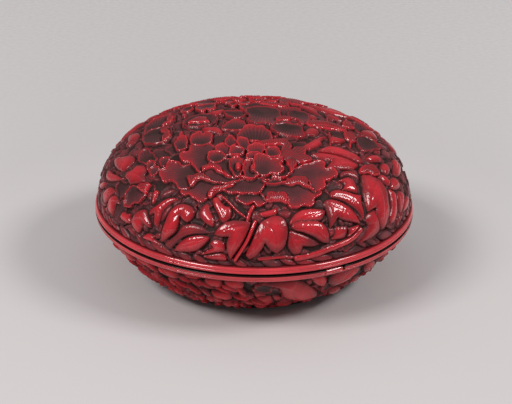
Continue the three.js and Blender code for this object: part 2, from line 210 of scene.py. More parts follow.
class Relief:
    """A carved surface: the height and the colour of each point of a plan."""

    def __init__(self, x: Array, y: Array, wrap: float = 0.0) -> None:
        """Starts from the bare ground.

        Args:
            x: Where each point is across the plan, in millimetres, as a grid.
            y: Where it is along the plan.
            wrap: The width after which the plan meets itself, or 0.
        """
        self.shape = x.shape
        self.x, self.y = x.ravel(), y.ravel()
        self.wrap = wrap
        self.height = np.zeros(self.x.size)
        self.tone = np.zeros(self.x.size)

    def around(self, points: Array, reach: float) -> tuple[Array, Array, Array]:
        """The points of the plan near a line.

        Args:
            points: The points of the line.
            reach: How far past the line to go.

        Returns:
            Their numbers, and where they are across and along.
        """
        low, high = points.min(0) - reach, points.max(0) + reach
        x = self.x
        if self.wrap:
            middle = (low[0] + high[0]) / 2
            x = (x - middle + self.wrap / 2) % self.wrap + middle - self.wrap / 2
        index = np.flatnonzero((x > low[0]) & (x < high[0]) & (self.y > low[1]) & (self.y < high[1]))
        return index, x[index], self.y[index]

    def patch(self, outline: Array, reach: float) -> Patch:
        """The part of the plan that a closed outline covers.

        Args:
            outline: The points of the outline.
            reach: How far past the outline the patch goes.

        Returns:
            The patch.
        """
        index, x, y = self.around(outline, reach)
        gap, along, inside = measure_line(x, y, outline, True)
        return Patch(index, x, y, np.where(inside, gap, -gap), along)

    def lay(self, patch: Patch, height: Array, tone: Array, edge: float, undercut: float) -> None:
        """Lays a motif over what is there, with a shadowed groove round its edge.

        Args:
            patch: Where the motif lies.
            height: Its height, from 0 at the ground to 1 at the outside of the coat.
            tone: Its colour, from 0, dark, to 1, bright.
            edge: How wide the steep side is, in millimetres.
            undercut: How deep the groove round it is, as a share of the whole depth.
        """
        cover = smooth_step(patch.inside, -edge / 2, edge / 2)
        groove = np.exp(-np.clip(-patch.inside, 0, None) / GROOVE_WIDTH) * (1 - cover)
        under = np.clip(self.height[patch.index] - undercut * groove, 0, None)
        # Painted shade: the tone in the groove round the motif is darkened
        shade = self.tone[patch.index] * (1 - GROOVE_SHADE * groove)
        self.height[patch.index] = under + (np.clip(height, 0, 1) - under) * cover
        self.tone[patch.index] = shade + (np.clip(tone, 0, 1) - shade) * cover

    def blurred(self, values: Array, cells: int) -> Array:
        """Values of the plan, averaged over the cells around each.

        Args:
            values: One value for each point.
            cells: How many cells to each side the average takes in.

        Returns:
            The averages.
        """
        grid = values.reshape(self.shape)
        for _ in range(2):
            for axis in (0, 1):
                mode = "wrap" if self.wrap and axis == 1 else "edge"
                pad = [(cells + 1, cells) if a == axis else (0, 0) for a in (0, 1)]
                total = np.cumsum(np.pad(grid, pad, mode=mode), axis=axis)
                size = grid.shape[axis]
                later = np.take(total, np.arange(2 * cells + 1, 2 * cells + 1 + size), axis=axis)
                sooner = np.take(total, np.arange(size), axis=axis)
                grid = (later - sooner) / (2 * cells + 1)
        return grid.ravel()


@dataclass(frozen=True)
class Motif:
    """One carved shape.

    Its outline is in hundredths of the plan's radius or of a template's size, or in millimetres
    round the bowl. Heights are shares of the carving's depth, and widths are in millimetres.
    """

    outline: Path
    corners: tuple[int, ...] = ()
    low: float = 0.4
    high: float = 0.9
    tone: float = 1.0
    edge: float = 0.34
    undercut: float = 0.35
    spread: float = -0.02
    wave: float = 0.0
    short_wave: float = 1.13
    long_wave: float = 0.66
    wave_reach: float = 1.4

    def surface(self, patch: Patch, place: Place) -> tuple[Array, Array]:
        """The height and the colour inside the outline.

        Args:
            patch: The part of the plan that the motif covers.
            place: Where the motif lies.

        Returns:
            The height and the colour at each point of the patch.
        """
        raise NotImplementedError

    def carve(self, relief: Relief, place: Place) -> None:
        """Carves the motif over what the relief already holds.

        Args:
            relief: The relief to carve.
            place: Where the motif goes.
        """
        outline = place.put(smooth_line(self.outline, self.corners))
        patch = relief.patch(outline, 3 * GROOVE_WIDTH + abs(self.spread))
        waves = (np.sin(patch.along * self.short_wave)
                 + 0.7 * np.sin(patch.along * self.long_wave + place.turn))
        near = np.exp(-np.abs(patch.inside) / self.wave_reach)
        patch.inside = patch.inside + self.spread + self.wave * waves * near
        if patch.index.size:
            height, tone = self.surface(patch, place)
            relief.lay(patch, height, tone, self.edge, self.undercut)


@dataclass(frozen=True)
class Leaf(Motif):
    """A swelling leaf with creased veins."""

    veins: tuple[Path, ...] = ()
    crease: float = 0.13
    crease_width: float = 1.4
    vein_width: float = 0.22
    vein_depth: float = 0.03
    vein_shade: float = 0.14
    side_pitch: float = 3.4
    side_depth: float = 0.02
    side_shade: float = 0.06
    side_fade: tuple[float, float] = (4.0, 6.5)
    tilt: float = 0.16
    shade: float = 0.28
    # How wide the painted highlight along the leaf's edge is, in millimetres
    bevel: float = 0.4

    def surface(self, patch: Patch, place: Place) -> tuple[Array, Array]:
        """The height and the colour inside the outline.

        Args:
            patch: The part of the plan that the leaf covers.
            place: Where the leaf lies.

        Returns:
            The height and the colour at each point of the patch.
        """
        half = max(float(patch.inside.max()), 0.5)
        share = np.clip(patch.inside / half, 0, 1)
        pillow = 1 - (1 - share) ** 2
        swell = 0.6 * pillow + 0.4 * np.sqrt(pillow)
        way = 7.3 * self.outline[0].real + 3.1 * self.outline[1].imag + place.turn
        lean = (patch.x - patch.x.mean()) * math.cos(way) + (patch.y - patch.y.mean()) * math.sin(way)
        lean = lean / max(float(np.abs(lean).max()), 1.0)
        tilted = 1 - self.tilt * 0.5 + self.tilt * 0.5 * lean
        height = self.low + (self.high - self.low) * swell * tilted
        # Painted light in the tone: darker towards the leaf's low edges as painted shade, a painted highlight
        # along its edge, and painted shade on one side
        painted_edge_highlight = np.exp(-((np.clip(patch.inside, 0, None) / self.bevel) ** 2))
        tone = self.tone * np.maximum(0.5 + 0.5 * swell, 0.9 * painted_edge_highlight)
        tone = tone * (1 - self.shade * np.clip(-lean, 0, 1))
        for vein in self.veins:
            line = place.put(smooth_line(vein, closed=False))
            gap, along, _ = measure_line(patch.x, patch.y, line, False)
            rib = np.exp(-((gap / self.vein_width) ** 2))
            step = (along - gap * 0.8) / self.side_pitch
            aside = np.abs(step - np.round(step)) * self.side_pitch
            side = np.exp(-((aside / (self.vein_width * 0.6)) ** 2)) * smooth_step(gap, 0.1, 0.5)
            side = side * (1 - smooth_step(gap, *self.side_fade))
            crease = self.crease * np.exp(-gap / self.crease_width) * swell
            height = height - crease - self.vein_depth * rib - self.side_depth * side
            tone = tone - self.vein_shade * rib - self.side_shade * side
        return height, tone


@dataclass(frozen=True)
class Petal(Motif):
    """A hollow petal: a thin rim, painted bright as a highlight, round a body painted darker towards its foot
    as shade, hatched with fine lines from its foot.
    """

    focus: complex = -4-48j
    spread: float = 0.22
    wave: float = 0.3
    rim: float = 0.56
    slope: float = 1.9
    body_tone: float = 0.36
    hatch: float = 0.06
    hatch_shade: float = 0.14
    pitch: float = 1.05

    def from_focus(self, patch: Patch, place: Place) -> tuple[Array, Array, Array]:
        """Measures a patch from the focus.

        Args:
            patch: The part of the plan to measure.
            place: Where the petal lies.

        Returns:
            How far each point is from the focus, in which direction, and the distances inside.
        """
        foot = place.put(as_rows((self.focus,)))[0]
        off_x, off_y = patch.x - foot[0], patch.y - foot[1]
        reach = np.hypot(off_x, off_y)
        return reach, np.arctan2(off_y, off_x), reach[patch.inside > 0]

    def lines(self, patch: Patch, place: Place) -> Array:
        """Fine lines that fan out from the focus.

        Args:
            patch: The part of the plan that the lines cross.
            place: Where the petal lies.

        Returns:
            How deep in a line each point is, from 0 between them to 1 at their bottoms.
        """
        reach, direction, within = self.from_focus(patch, place)
        middle = float(within.mean()) if within.size else 1.0
        count = max(6, round(TURN * middle / self.pitch))
        wave = direction * count + 0.5 * np.sin(reach * 0.9)
        return (0.5 - 0.5 * np.cos(wave)) ** 2 * smooth_step(reach * TURN / count, 0.35, 0.8)

    def surface(self, patch: Patch, place: Place) -> tuple[Array, Array]:
        """The height and the colour inside the outline.

        Args:
            patch: The part of the plan that the petal covers.
            place: Where the petal lies.

        Returns:
            The height and the colour at each point of the patch.
        """
        depth = np.clip(patch.inside, 0, None)
        bead = np.exp(-(((depth - self.rim / 2) / (self.rim * 0.62)) ** 2))
        flank = np.exp(-depth / self.slope)
        lines = self.lines(patch, place) * smooth_step(depth, self.rim * 1.2, self.rim * 2.4)
        reach, _, within = self.from_focus(patch, place)
        near, far = (float(within.min()), float(within.max())) if within.size else (0.0, 1.0)
        rise = np.clip((reach - near) / max(far - near, 1.0), 0, 1) ** 1.5
        shape = np.clip(0.42 * flank + 0.34 * bead + 0.55 * rise - 0.05, 0, 1)
        height = self.low + (self.high - self.low) * shape - self.hatch * lines
        # Painted shade and highlight: the body darkens towards the foot of the hollow, and the rim and its
        # flank are painted lighter
        body = self.body_tone * (0.1 + 0.9 * rise) + 0.5 * (self.tone - self.body_tone) * rise
        tone = body + (self.tone - body) * np.clip(bead + 0.35 * flank, 0, 1)
        return height, tone - self.hatch_shade * lines


@dataclass(frozen=True)
class Lip(Petal):
    """The rim of a petal where it turns over: a swelling band with deep lines across it."""

    low: float = 0.45
    high: float = 0.95
    hatch: float = 0.1
    hatch_shade: float = 0.35
    soft: float = 0.8
    body_tone: float = 0.7

    def surface(self, patch: Patch, place: Place) -> tuple[Array, Array]:
        """The height and the colour inside the outline.

        Args:
            patch: The part of the plan that the lip covers.
            place: Where the lip lies.

        Returns:
            The height and the colour at each point of the patch.
        """
        depth = np.clip(patch.inside, 0, None)
        swell = 1 - np.exp(-depth / self.soft)
        lines = self.lines(patch, place) * smooth_step(depth, 0.3, 1.0)
        height = self.low + (self.high - self.low) * swell - self.hatch * lines
        tone = self.tone + (self.body_tone - self.tone) * smooth_step(depth, 0.3, 1.2)
        return height, tone - self.hatch_shade * lines


@dataclass(frozen=True)
class Stem:
    """A round stem along a line, in the same units as a motif."""

    route: Path
    width: float = 1.0
    high: float = 0.7
    tone: float = 0.9
    edge: float = 0.3
    undercut: float = 0.3

    def carve(self, relief: Relief, place: Place) -> None:
        """Carves the stem over what the relief already holds.

        Args:
            relief: The relief to carve.
            place: Where the stem goes.
        """
        line = place.put(smooth_line(self.route, closed=False))
        half = self.width * place.size / 2
        index, x, y = relief.around(line, half + 3 * GROOVE_WIDTH)
        if index.size:
            gap, along, _ = measure_line(x, y, line, False)
            patch = Patch(index, x, y, half - gap, along)
            round_top = np.sqrt(np.clip(1 - (gap / half) ** 2, 0, 1))
            height = self.high * (0.6 + 0.4 * round_top)
            relief.lay(patch, height, np.full(len(x), self.tone), self.edge, self.undercut)


# The lid's motifs, in the order in which they are carved, each over those before it. Places are in
# hundredths of the plan's radius from its middle: across to the right, and along towards the back.
# After an outline come its sharp corners, its lowest and highest relief and its colour, and after
# a stem's route its width, its height and its colour.
LEAF_SHARES: tuple[Leaf | Stem, ...] = (
    # The lowest leaves of the front, which the others lie on
    Leaf((-21.5-82.4j, -26-82.6j, -31-81.8j, -36-82j, -41-83.5j, -44.5-85j, -47-85.6j, -49.3-82j, -45-80.5j,
        -40-79j, -36-76.4j, -31-76.3j, -26.5-78.3j), (0,), 0.22, 0.55, 0.62, veins=((-47-83.5j, -36-79.8j,
        -23-81.5j),)),
    Leaf((-36.3-62.5j, -41-64j, -45.5-66.5j, -48-70.5j, -50.3-73.3j, -52-70j, -50.5-65.5j, -53.5-65j,
        -52-62.5j, -47.5-61.5j, -42.5-60.2j, -38.5-60.8j), (0, 4), 0.28, 0.66, 0.9),
    Leaf((-22-67.8j, -20.8-72j, -19.3-76.5j, -20-79.6j, -23.5-77.6j, -26.2-73.5j, -25.5-70j), (), 0.3, 0.62,
        0.85),
    Leaf((-18-64j, -15-63.5j, -14.5-67j, -16.5-67.5j), (), 0.3, 0.6, 0.8),
    Leaf((-29.8-92.2j, -25.5-90.8j, -21.5-89.6j, -22.5-87.5j, -20.5-86.2j, -17-86.7j, -14.8-88.5j, -15-92j,
        -20-92.6j, -25-92.6j), (0,), 0.3, 0.7),
    Leaf((-28.5-93.2j, -23-92.8j, -17-93j, -14.5-94.5j, -14.8-96.8j, -20-96.3j, -25-95j), (0,), 0.25, 0.55,
        0.9),
    Leaf((12-73j, 15-71.5j, 18-72j, 17-75j, 13-75.5j), (), 0.1, 0.35, 0.5),
    Leaf((2-74.5j, 5-73j, 9-71.5j, 10.6-70.3j, 10.8-74j, 9.5-75.8j, 5-76j), (3,), 0.3, 0.6),
    Leaf((18-81.2j, 24-81.8j, 30-83j, 35.6-84.4j, 31.5-86.6j, 26-87.6j, 25.8-90.5j, 24.2-93.6j, 20.5-91.8j,
        18-89j, 17.2-85j), (3, 5, 7), 0.28, 0.62, 0.8, veins=((18-84j, 25-85j, 34.5-84.8j), (18-84j, 21-88j,
        24-93j))),
    Leaf((2-96j, 8-95j, 15-93.8j, 22-93.3j, 26-93j, 24-94.5j, 16-95.5j, 8-97j, 3-97.4j), (4,), 0.15, 0.36,
        0.8),
    Stem((24-94j, 30-91.8j, 36-88.8j, 41-85.5j, 46-82j, 51-78j, 54-74.5j, 56.6-69.4j), 2.8, 0.6, 0.9),
    # The leaves of the front that lie highest
    Leaf((-45-86.6j, -40-84j, -35-82.5j, -29-82.5j, -24.5-83.5j, -22.8-85j, -26-87.8j, -31-89.8j, -36-89.5j,
        -41-88j), (0,), 0.38, 0.85, veins=((-44-86.3j, -36-85.8j, -24-84.6j),)),
    Leaf((-50-80.5j, -44-79.5j, -40-78j, -37.5-74.5j, -36.2-71.3j, -34.8-73.8j, -32.3-75.4j, -28.6-72j,
        -29.5-68.5j, -33-66j, -37-65.5j, -41-67.5j, -44.5-71.5j, -49-77j), (0, 4), 0.5, 0.96, veins=((-48-79j,
        -42-73.5j, -34-69j),)),
    Leaf((-19.4-65.5j, -17-65.2j, -15.2-68.3j, -13.4-70.2j, -10.9-70.6j, -10.6-73.5j, -11.8-77j, -14.5-79j,
        -16-77j, -17.5-73j, -19-69.5j), (4,), 0.42, 0.88, veins=((-18-66j, -15.5-71.5j, -13.5-77j),)),
    Stem((-14.5-65.5j, -11-69.5j, -8-73j, -5-75.5j, -2-77.5j), 1.1, 0.62),
    Stem((-0.5-71j, -2-74j, -3-77.5j), 1.8, 0.72, 0.95),
    Leaf((-1.6-78.8j, -5-78j, -10-77.5j, -14.5-78.6j, -17.8-80.8j, -19.9-83.4j, -16-85j, -12.6-85.2j,
        -13.9-88.5j, -14-92j, -12.6-96.4j, -9.5-93.5j, -6-89.5j, -3.2-84.5j), (5, 7, 10), 0.46, 0.95,
        veins=((-2-80j, -9-80.8j, -19-83.1j), (-2.5-81j, -8-87j, -12.3-95.4j))),
    Leaf((3.5-78.5j, 7-76.2j, 11-74.8j, 14.5-76j, 16.4-79.5j, 16.9-84.5j, 15.8-89.5j, 12.4-93.1j, 8.8-91.5j,
        5.8-88.3j, 4.5-91.3j, 1.5-94.6j, -2-96.5j, -4-94.5j, -2-90j, 0-85.5j, 2-81j), (7, 9, 12), 0.5, 1.0,
        veins=((5-78j, 10.5-84j, 12.4-92.2j), (2.5-81j, 2-88j, -1.8-95.6j))),
    Stem((-9.8-96.2j, -6-91.5j, -3-87j, -1-82.5j, 0.6-78.6j), 1.8, 1.0, 1.0),
    Leaf((17.3-78.3j, 18.3-74.5j, 21.5-71j, 26-68.9j, 31-67.9j, 34.6-67.6j, 33.6-71.5j, 31.5-74.5j, 27-76.5j,
        21-78.8j), (5,), 0.42, 0.9, veins=((18-77.8j, 26-73j, 34-68.2j),)),
    Leaf((18.3-79.2j, 21-76.6j, 26-75.2j, 31-74j, 35.5-75j, 38.5-78.8j, 39.8-82.6j, 36.5-83.4j, 31-82j,
        25-81j, 20-80.6j), (6,), 0.48, 0.96, veins=((19.5-79.8j, 30-78.6j, 39-82.2j),)),
    # The left rim
    Leaf((-74-54.5j, -70.5-53.8j, -68.5-56j, -65.3-58.3j, -66.5-60j, -65.8-62.8j, -69-62j, -72-59j,
        -73.8-56.5j), (3, 5), 0.3, 0.7),
    Leaf((-62.5-73j, -58-72.8j, -54.5-75.3j, -53.5-76j, -54.5-76.6j, -52.5-80j, -51-82j, -54.5-80j, -58-77.2j,
        -61-75j), (3, 6), 0.3, 0.7),
    Leaf((-66-61.8j, -62-60j, -57.5-60j, -54.8-61.8j, -54.3-66j, -53.5-69.5j, -54.5-71.5j, -57-69.5j,
        -58.5-67j, -60.5-69j, -63.5-70j, -65.8-67.5j, -66.5-64.5j), (6, 8), 0.42, 0.9, veins=((-65-63j,
        -60-64j, -55-70.5j),)),
    Leaf((-45.7-59.5j, -44.8-57j, -42.5-55.5j, -39-55.8j, -37.3-57j, -40-58.5j, -43.5-58.8j), (0,), 0.2, 0.5,
        0.6),
    Leaf((-47.5-53.3j, -46.2-54.5j, -47.5-57.5j, -49.5-60.5j, -50.5-60j, -50-57j, -49-54j), (), 0.3, 0.62),
    Leaf((-90-14j, -86-18j, -82-22j, -79.5-26.5j, -84-25j, -88-21j), (3,), 0.3, 0.7, 0.9),
    Leaf((-87-32.5j, -84-29.3j, -80-30.3j, -76.5-32.5j, -74.5-36j, -74-38.5j, -78-38j, -82-38j, -85-36j),
        (0,), 0.35, 0.8, veins=((-86-32.8j, -80-34j, -75-37.5j),)),
    Leaf((-84-41.5j, -81-39.2j, -77-38.8j, -74-41j, -72.3-44.5j, -72-48.5j, -74.5-46j, -77-47.5j, -80.5-49j,
        -82.5-46j), (5, 8), 0.38, 0.82, veins=((-83-42.5j, -77-42.5j, -72.6-47.5j),)),
    Leaf((-78.5-16j, -76-20j, -73.5-25j, -70.5-29.5j, -66.5-35j, -70-33.5j, -74-30.5j, -77.5-27j, -79.8-22j),
        (0, 4), 0.35, 0.78, veins=((-78-18j, -74.5-27j, -67.5-34j),)),
    Leaf((-73-12j, -70-13.5j, -66.5-17j, -62.5-19.5j, -60-22.5j, -59.3-27j, -62-29.5j, -66-30j, -69-26.5j,
        -71.5-22j, -73-17j), (0,), 0.45, 0.92, veins=((-72-13.5j, -68-20j, -64-28j),)),
    Leaf((-65-35j, -64-32.3j, -61-33j, -58.5-31.5j, -55-33j, -52.5-36j, -52-39j, -53.5-41.5j, -53-45.5j,
        -57-44.5j, -60-43j, -62.5-41.5j, -63.5-38.5j), (8,), 0.42, 0.88, veins=((-64-34j, -58-38j,
        -53.5-44.8j),)),
    # The right side
    Leaf((57.5-63j, 60.8-65.3j, 60.2-69j, 59.3-75.8j, 62-73.6j, 65.5-70.5j, 68.5-67j, 70.5-63.5j, 71-58j,
        65-54j, 60-57j), (1, 3), 0.28, 0.7, 0.95),
    Leaf((41.5-74j, 45-72.4j, 48.8-71j, 49.2-74j, 48.5-77j, 44-79.5j, 41-80.5j, 42-77j), (), 0.18, 0.5, 0.8),
    Leaf((68-38.5j, 71-36.3j, 74-36j, 77-40j, 79.5-45j, 80-50j, 77.5-54j, 74-52j, 73-47j, 70.5-42j), (6,),
        0.35, 0.78),
    Leaf((75.5-36j, 77-31.5j, 80-29j, 83-31j, 84.5-36j, 84-41.5j, 80.5-41j, 77.5-39j), (5,), 0.38, 0.8,
        veins=((77-33j, 80-36j, 83.5-40.5j),)),
    Leaf((69-34j, 69.5-29j, 71.5-26j, 74.5-25.2j, 77-27.5j, 76-31j, 73.5-34j, 71-35.5j), (), 0.36, 0.78),
    Leaf((71-24j, 71.5-16j, 72-8j, 75-5j, 78-9j, 77.5-16j, 75.5-21j), (0,), 0.36, 0.8, 0.95, veins=((72-22j,
        74.5-14j, 75-6j),)),
    Leaf((84-36j, 85-29j, 87.5-23j, 90-22j, 91-28j, 89-34j, 86-37.5j), (3,), 0.3, 0.7),
    Leaf((36-57j, 39-54.5j, 43.5-53.5j, 48-53.2j, 52-52j, 53-56j, 55.3-60.2j, 56.7-64.3j, 52-61.8j, 46-60.2j,
        40-59.8j, 36.5-60j), (4, 7), 0.38, 0.84, veins=((37-58.3j, 46-57j, 56-63.4j),)),
    Leaf((54.5-67.5j, 52-69.5j, 48.8-71.8j, 50-74j, 49.8-76.5j, 52-73.8j, 54-70.5j), (2, 4), 0.4, 0.8),
    Leaf((33-64j, 35.3-61.5j, 40-60.8j, 45-61.4j, 50-63.3j, 55.3-67j, 50-68.2j, 45-69.2j, 41.3-69j, 40.2-72j,
        38.5-75.4j, 36.8-71.5j, 34.5-67.5j), (5, 8, 10), 0.48, 0.96, veins=((34-63.8j, 43-64.8j, 54.5-66.8j),
        (35-64j, 38-69j, 38.6-74.6j))),
    Leaf((51.5-42j, 52.5-45j, 53-50j, 54.5-54j, 57.8-59j, 59.5-57j, 62.3-54j, 64-57j, 67-59j, 71.3-61.5j,
        73-58j, 73-52j, 71.5-47j, 70.5-46j, 68.5-41.5j, 66-38.5j, 63-36.6j, 59-36.3j, 54.5-37.3j, 52-39j),
        (4, 6, 9), 0.5, 1.0, veins=((60-37.5j, 66-48j, 71.2-60.6j), (60-37.5j, 58-49j, 57.8-58.3j))),
    Leaf((40-45j, 42-41j, 46-39.3j, 49-40.3j, 50.5-43j, 48-43j, 44.5-43.5j, 41-46j), (), 0.25, 0.6, 0.7),
    Leaf((38.5-50.5j, 41-47j, 44.5-44.4j, 47.5-45j, 49.5-48.5j, 50-52j, 46-53j, 41.7-53.6j, 43-50j,
        41.5-48.8j), (0, 7), 0.35, 0.78),
    Leaf((54.5-24.5j, 56.5-20j, 59.5-17.5j, 62.5-17.3j, 63.5-19.5j, 61-22.5j, 57-25j), (), 0.35, 0.76, 0.85),
    Leaf((63-27j, 63.5-22j, 66-20j, 68.5-22j, 68-27j, 65.5-29j), (), 0.4, 0.8, 0.9),
    Leaf((61-34j, 61.5-32j, 65-31j, 69-32.5j, 68.5-35.5j, 64-36j), (), 0.4, 0.8, 0.9),
    # The spear-shaped leaves behind the peony's right side
    Leaf((23-14.5j, 24-10j, 25.5-6.5j, 28-5j, 31-8j, 30.5-11.5j, 28.5-14j, 25-15j, 23.5-18j), (8,), 0.35,
        0.76, 0.8),
    Stem((36-8j, 36.2-15j, 36-23j), 1.0, 0.6, 0.8),
    Leaf((36-13.5j, 40-12.7j, 44.5-13.2j, 42.5-16j, 38.5-18.5j, 36.5-19.5j), (2,), 0.36, 0.8, 0.9),
    Leaf((22-28.5j, 25-23.5j, 28.5-18.5j, 31-15.5j, 34.8-13j, 32.5-17j, 31.5-20.5j, 32-22.5j, 29.5-26j,
        27-28.5j, 24.5-30j), (4,), 0.4, 0.84, 0.95, veins=((23.5-29j, 28-23j, 34-14j),)),
    Leaf((26.3-33.5j, 30-31j, 35-30.3j, 42-30.4j, 47-31.5j, 50-33j, 48-36.5j, 44-39j, 38-41j, 33.5-41.5j,
        35-38.5j, 36-35.5j, 32.5-36j, 29-35j), (0, 5, 9), 0.4, 0.86, veins=((27.5-33.3j, 37-34j, 49-33.2j),
        (37-34j, 37-38j, 34.2-41j))),
    Leaf((29-30.5j, 31.5-27j, 35-23.8j, 39-23j, 44-23.8j, 49-25j, 53-29j, 50-30.8j, 45-30.3j, 38-29.5j,
        33-30j), (0, 6), 0.46, 0.92, veins=((30-30.2j, 39-26.8j, 52.3-28.9j),)),
    # Behind the peony's left side
    Leaf((-26-9.5j, -22-8.5j, -17-10j, -15.7-13j, -16-17.5j, -18.5-15.5j, -21-14j, -24-12.5j), (4,), 0.35,
        0.8, 0.9),
    Leaf((54+4j, 55+10j, 59+15j, 63+13j, 63+6j, 59+2j), (2,), 0.35, 0.8, 0.85),
    Leaf((-66+7j, -61+6j, -59+0j, -61-5j, -65-2j), (3,), 0.35, 0.75, 0.75),
)

BACK_PETAL_SHARES: tuple[Petal | Stem, ...] = (
    # Blooms behind the main one, farthest first
    Petal((-56-2j, -56-10j, -54.5-14j, -52-17j, -47-19j, -42-18j, -41-10j, -42-3j, -48+1j, -54+1j), (), 0.2,
        0.8, 0.72, body_tone=0.14, focus=-50+6j),
    Lip((-47-3j, -44-3.5j, -42-8j, -41.8-14j, -44-17.2j, -45.5-14j, -44.5-9j), (), 0.5, 0.9, focus=-58-8j),
    Petal((-35-3j, -36+2j, -33+8j, -28+12j, -22+10j, -19+4j, -20-3j, -24-7j, -31-7j), (), 0.15, 0.7, 0.6,
        body_tone=0.12, focus=-28+14j),
    Lip((-33-1j, -32+3j, -29+6j, -26+5.5j, -23.5+2j, -23-1j, -26-1.5j, -30-1j), focus=-28-14j),
    Petal((-5+12j, -3+5j, -4+0j, -2-4j, 1.5-5j, 5-4j, 7-6.5j, 9-5j, 11-1j, 12+6j, 12+14j, 9+20j, 0+21j,
        -4+18j), (), 0.3, 0.8, 0.72, body_tone=0.4, focus=4+24j),
    Lip((10+1j, 12.5-0.5j, 16+1j, 17.5+4j, 15+6j, 11.5+5.5j), focus=4+14j),
    Petal((16+9j, 17+5j, 20+3.5j, 23-3j, 26+2j, 27+9j, 25+16j, 20+18j, 16.5+15j), (), 0.3, 0.75, 0.62,
        body_tone=0.34, focus=20+24j),
    Lip((25+0j, 28+3j, 33+4.5j, 39+4j, 44+1j, 45-3j, 40-2j, 34-1.5j, 29-3j, 26-4j), focus=35-22j),
    Petal((50-14j, 52-20j, 56-17j, 60-12j, 63-8j, 62-2j, 56+0j, 51-4j), (), 0.25, 0.8, 0.7, body_tone=0.24,
        focus=50+4j),
    Lip((44-4.5j, 47-3.5j, 49.5-6j, 49-11j, 47-15j, 46-20j, 45.8-14j, 44-10j), (5,), focus=30-8j),
    Petal((7.5-10j, 8-13j, 10.5-16.5j, 13-18j, 15.5-19j, 19-20.5j, 21-19.7j, 23-18.5j, 23.5-14j, 22.5-9j,
        22-5j, 14-3j, 9.5-5j), (), 0.3, 0.85, 0.74, body_tone=0.42, focus=18+6j),
    Petal((-16-12j, -14.5-6j, -12-2j, -8-1j, -6-4j, -4.5-9j, -6.5-12.5j, -11-13.3j, -15-12.5j), (), 0.42,
        0.84, 0.8, body_tone=0.62, focus=-10-24j),
    Petal((-57-24j, -54.5-20.5j, -51.5-22j, -50-26j, -48-29j, -47.2-32j, -50-33.5j, -54-32j, -56.5-29j), (),
        0.15, 0.7, 0.75, body_tone=0.15, focus=-50-36j),
    Petal((-52-35j, -50.5-32.5j, -48-34j, -48.5-37.5j, -51-38j), (), 0.35, 0.75, 0.8, body_tone=0.45,
        focus=-50-40j),
    Petal((-45.5-36j, -43.5-33j, -40.5-35j, -41.5-38.5j, -44.5-39j), (), 0.35, 0.75, 0.8, body_tone=0.4,
        focus=-43-42j),
    Petal((-51-40.5j, -48.5-38j, -45.5-40j, -46.5-43j, -49.5-43.5j), (), 0.35, 0.78, 0.85, body_tone=0.5,
        focus=-48-46j),
    Petal((-67-50j, -67-53j, -64.5-55.2j, -61-55j, -57-56j, -54-54.8j, -53.7-52j, -56-47j, -61-44.5j,
        -65-46j), (), 0.2, 0.8, 0.85, body_tone=0.22, focus=-59-42j),
    Lip((-58-47j, -55-46j, -51.5-47.5j, -50-49.5j, -52.5-51.5j, -53.5-53.5j, -55-51j), (0,), 0.5, 0.92,
        focus=-64-44j),
    Lip((51-38j, 51.3-34j, 53.5-31j, 57-28.3j, 60-28.8j, 62-31j, 60-34.5j, 56-36.3j, 53-37.5j), (), 0.45,
        0.92, focus=62-44j),
)

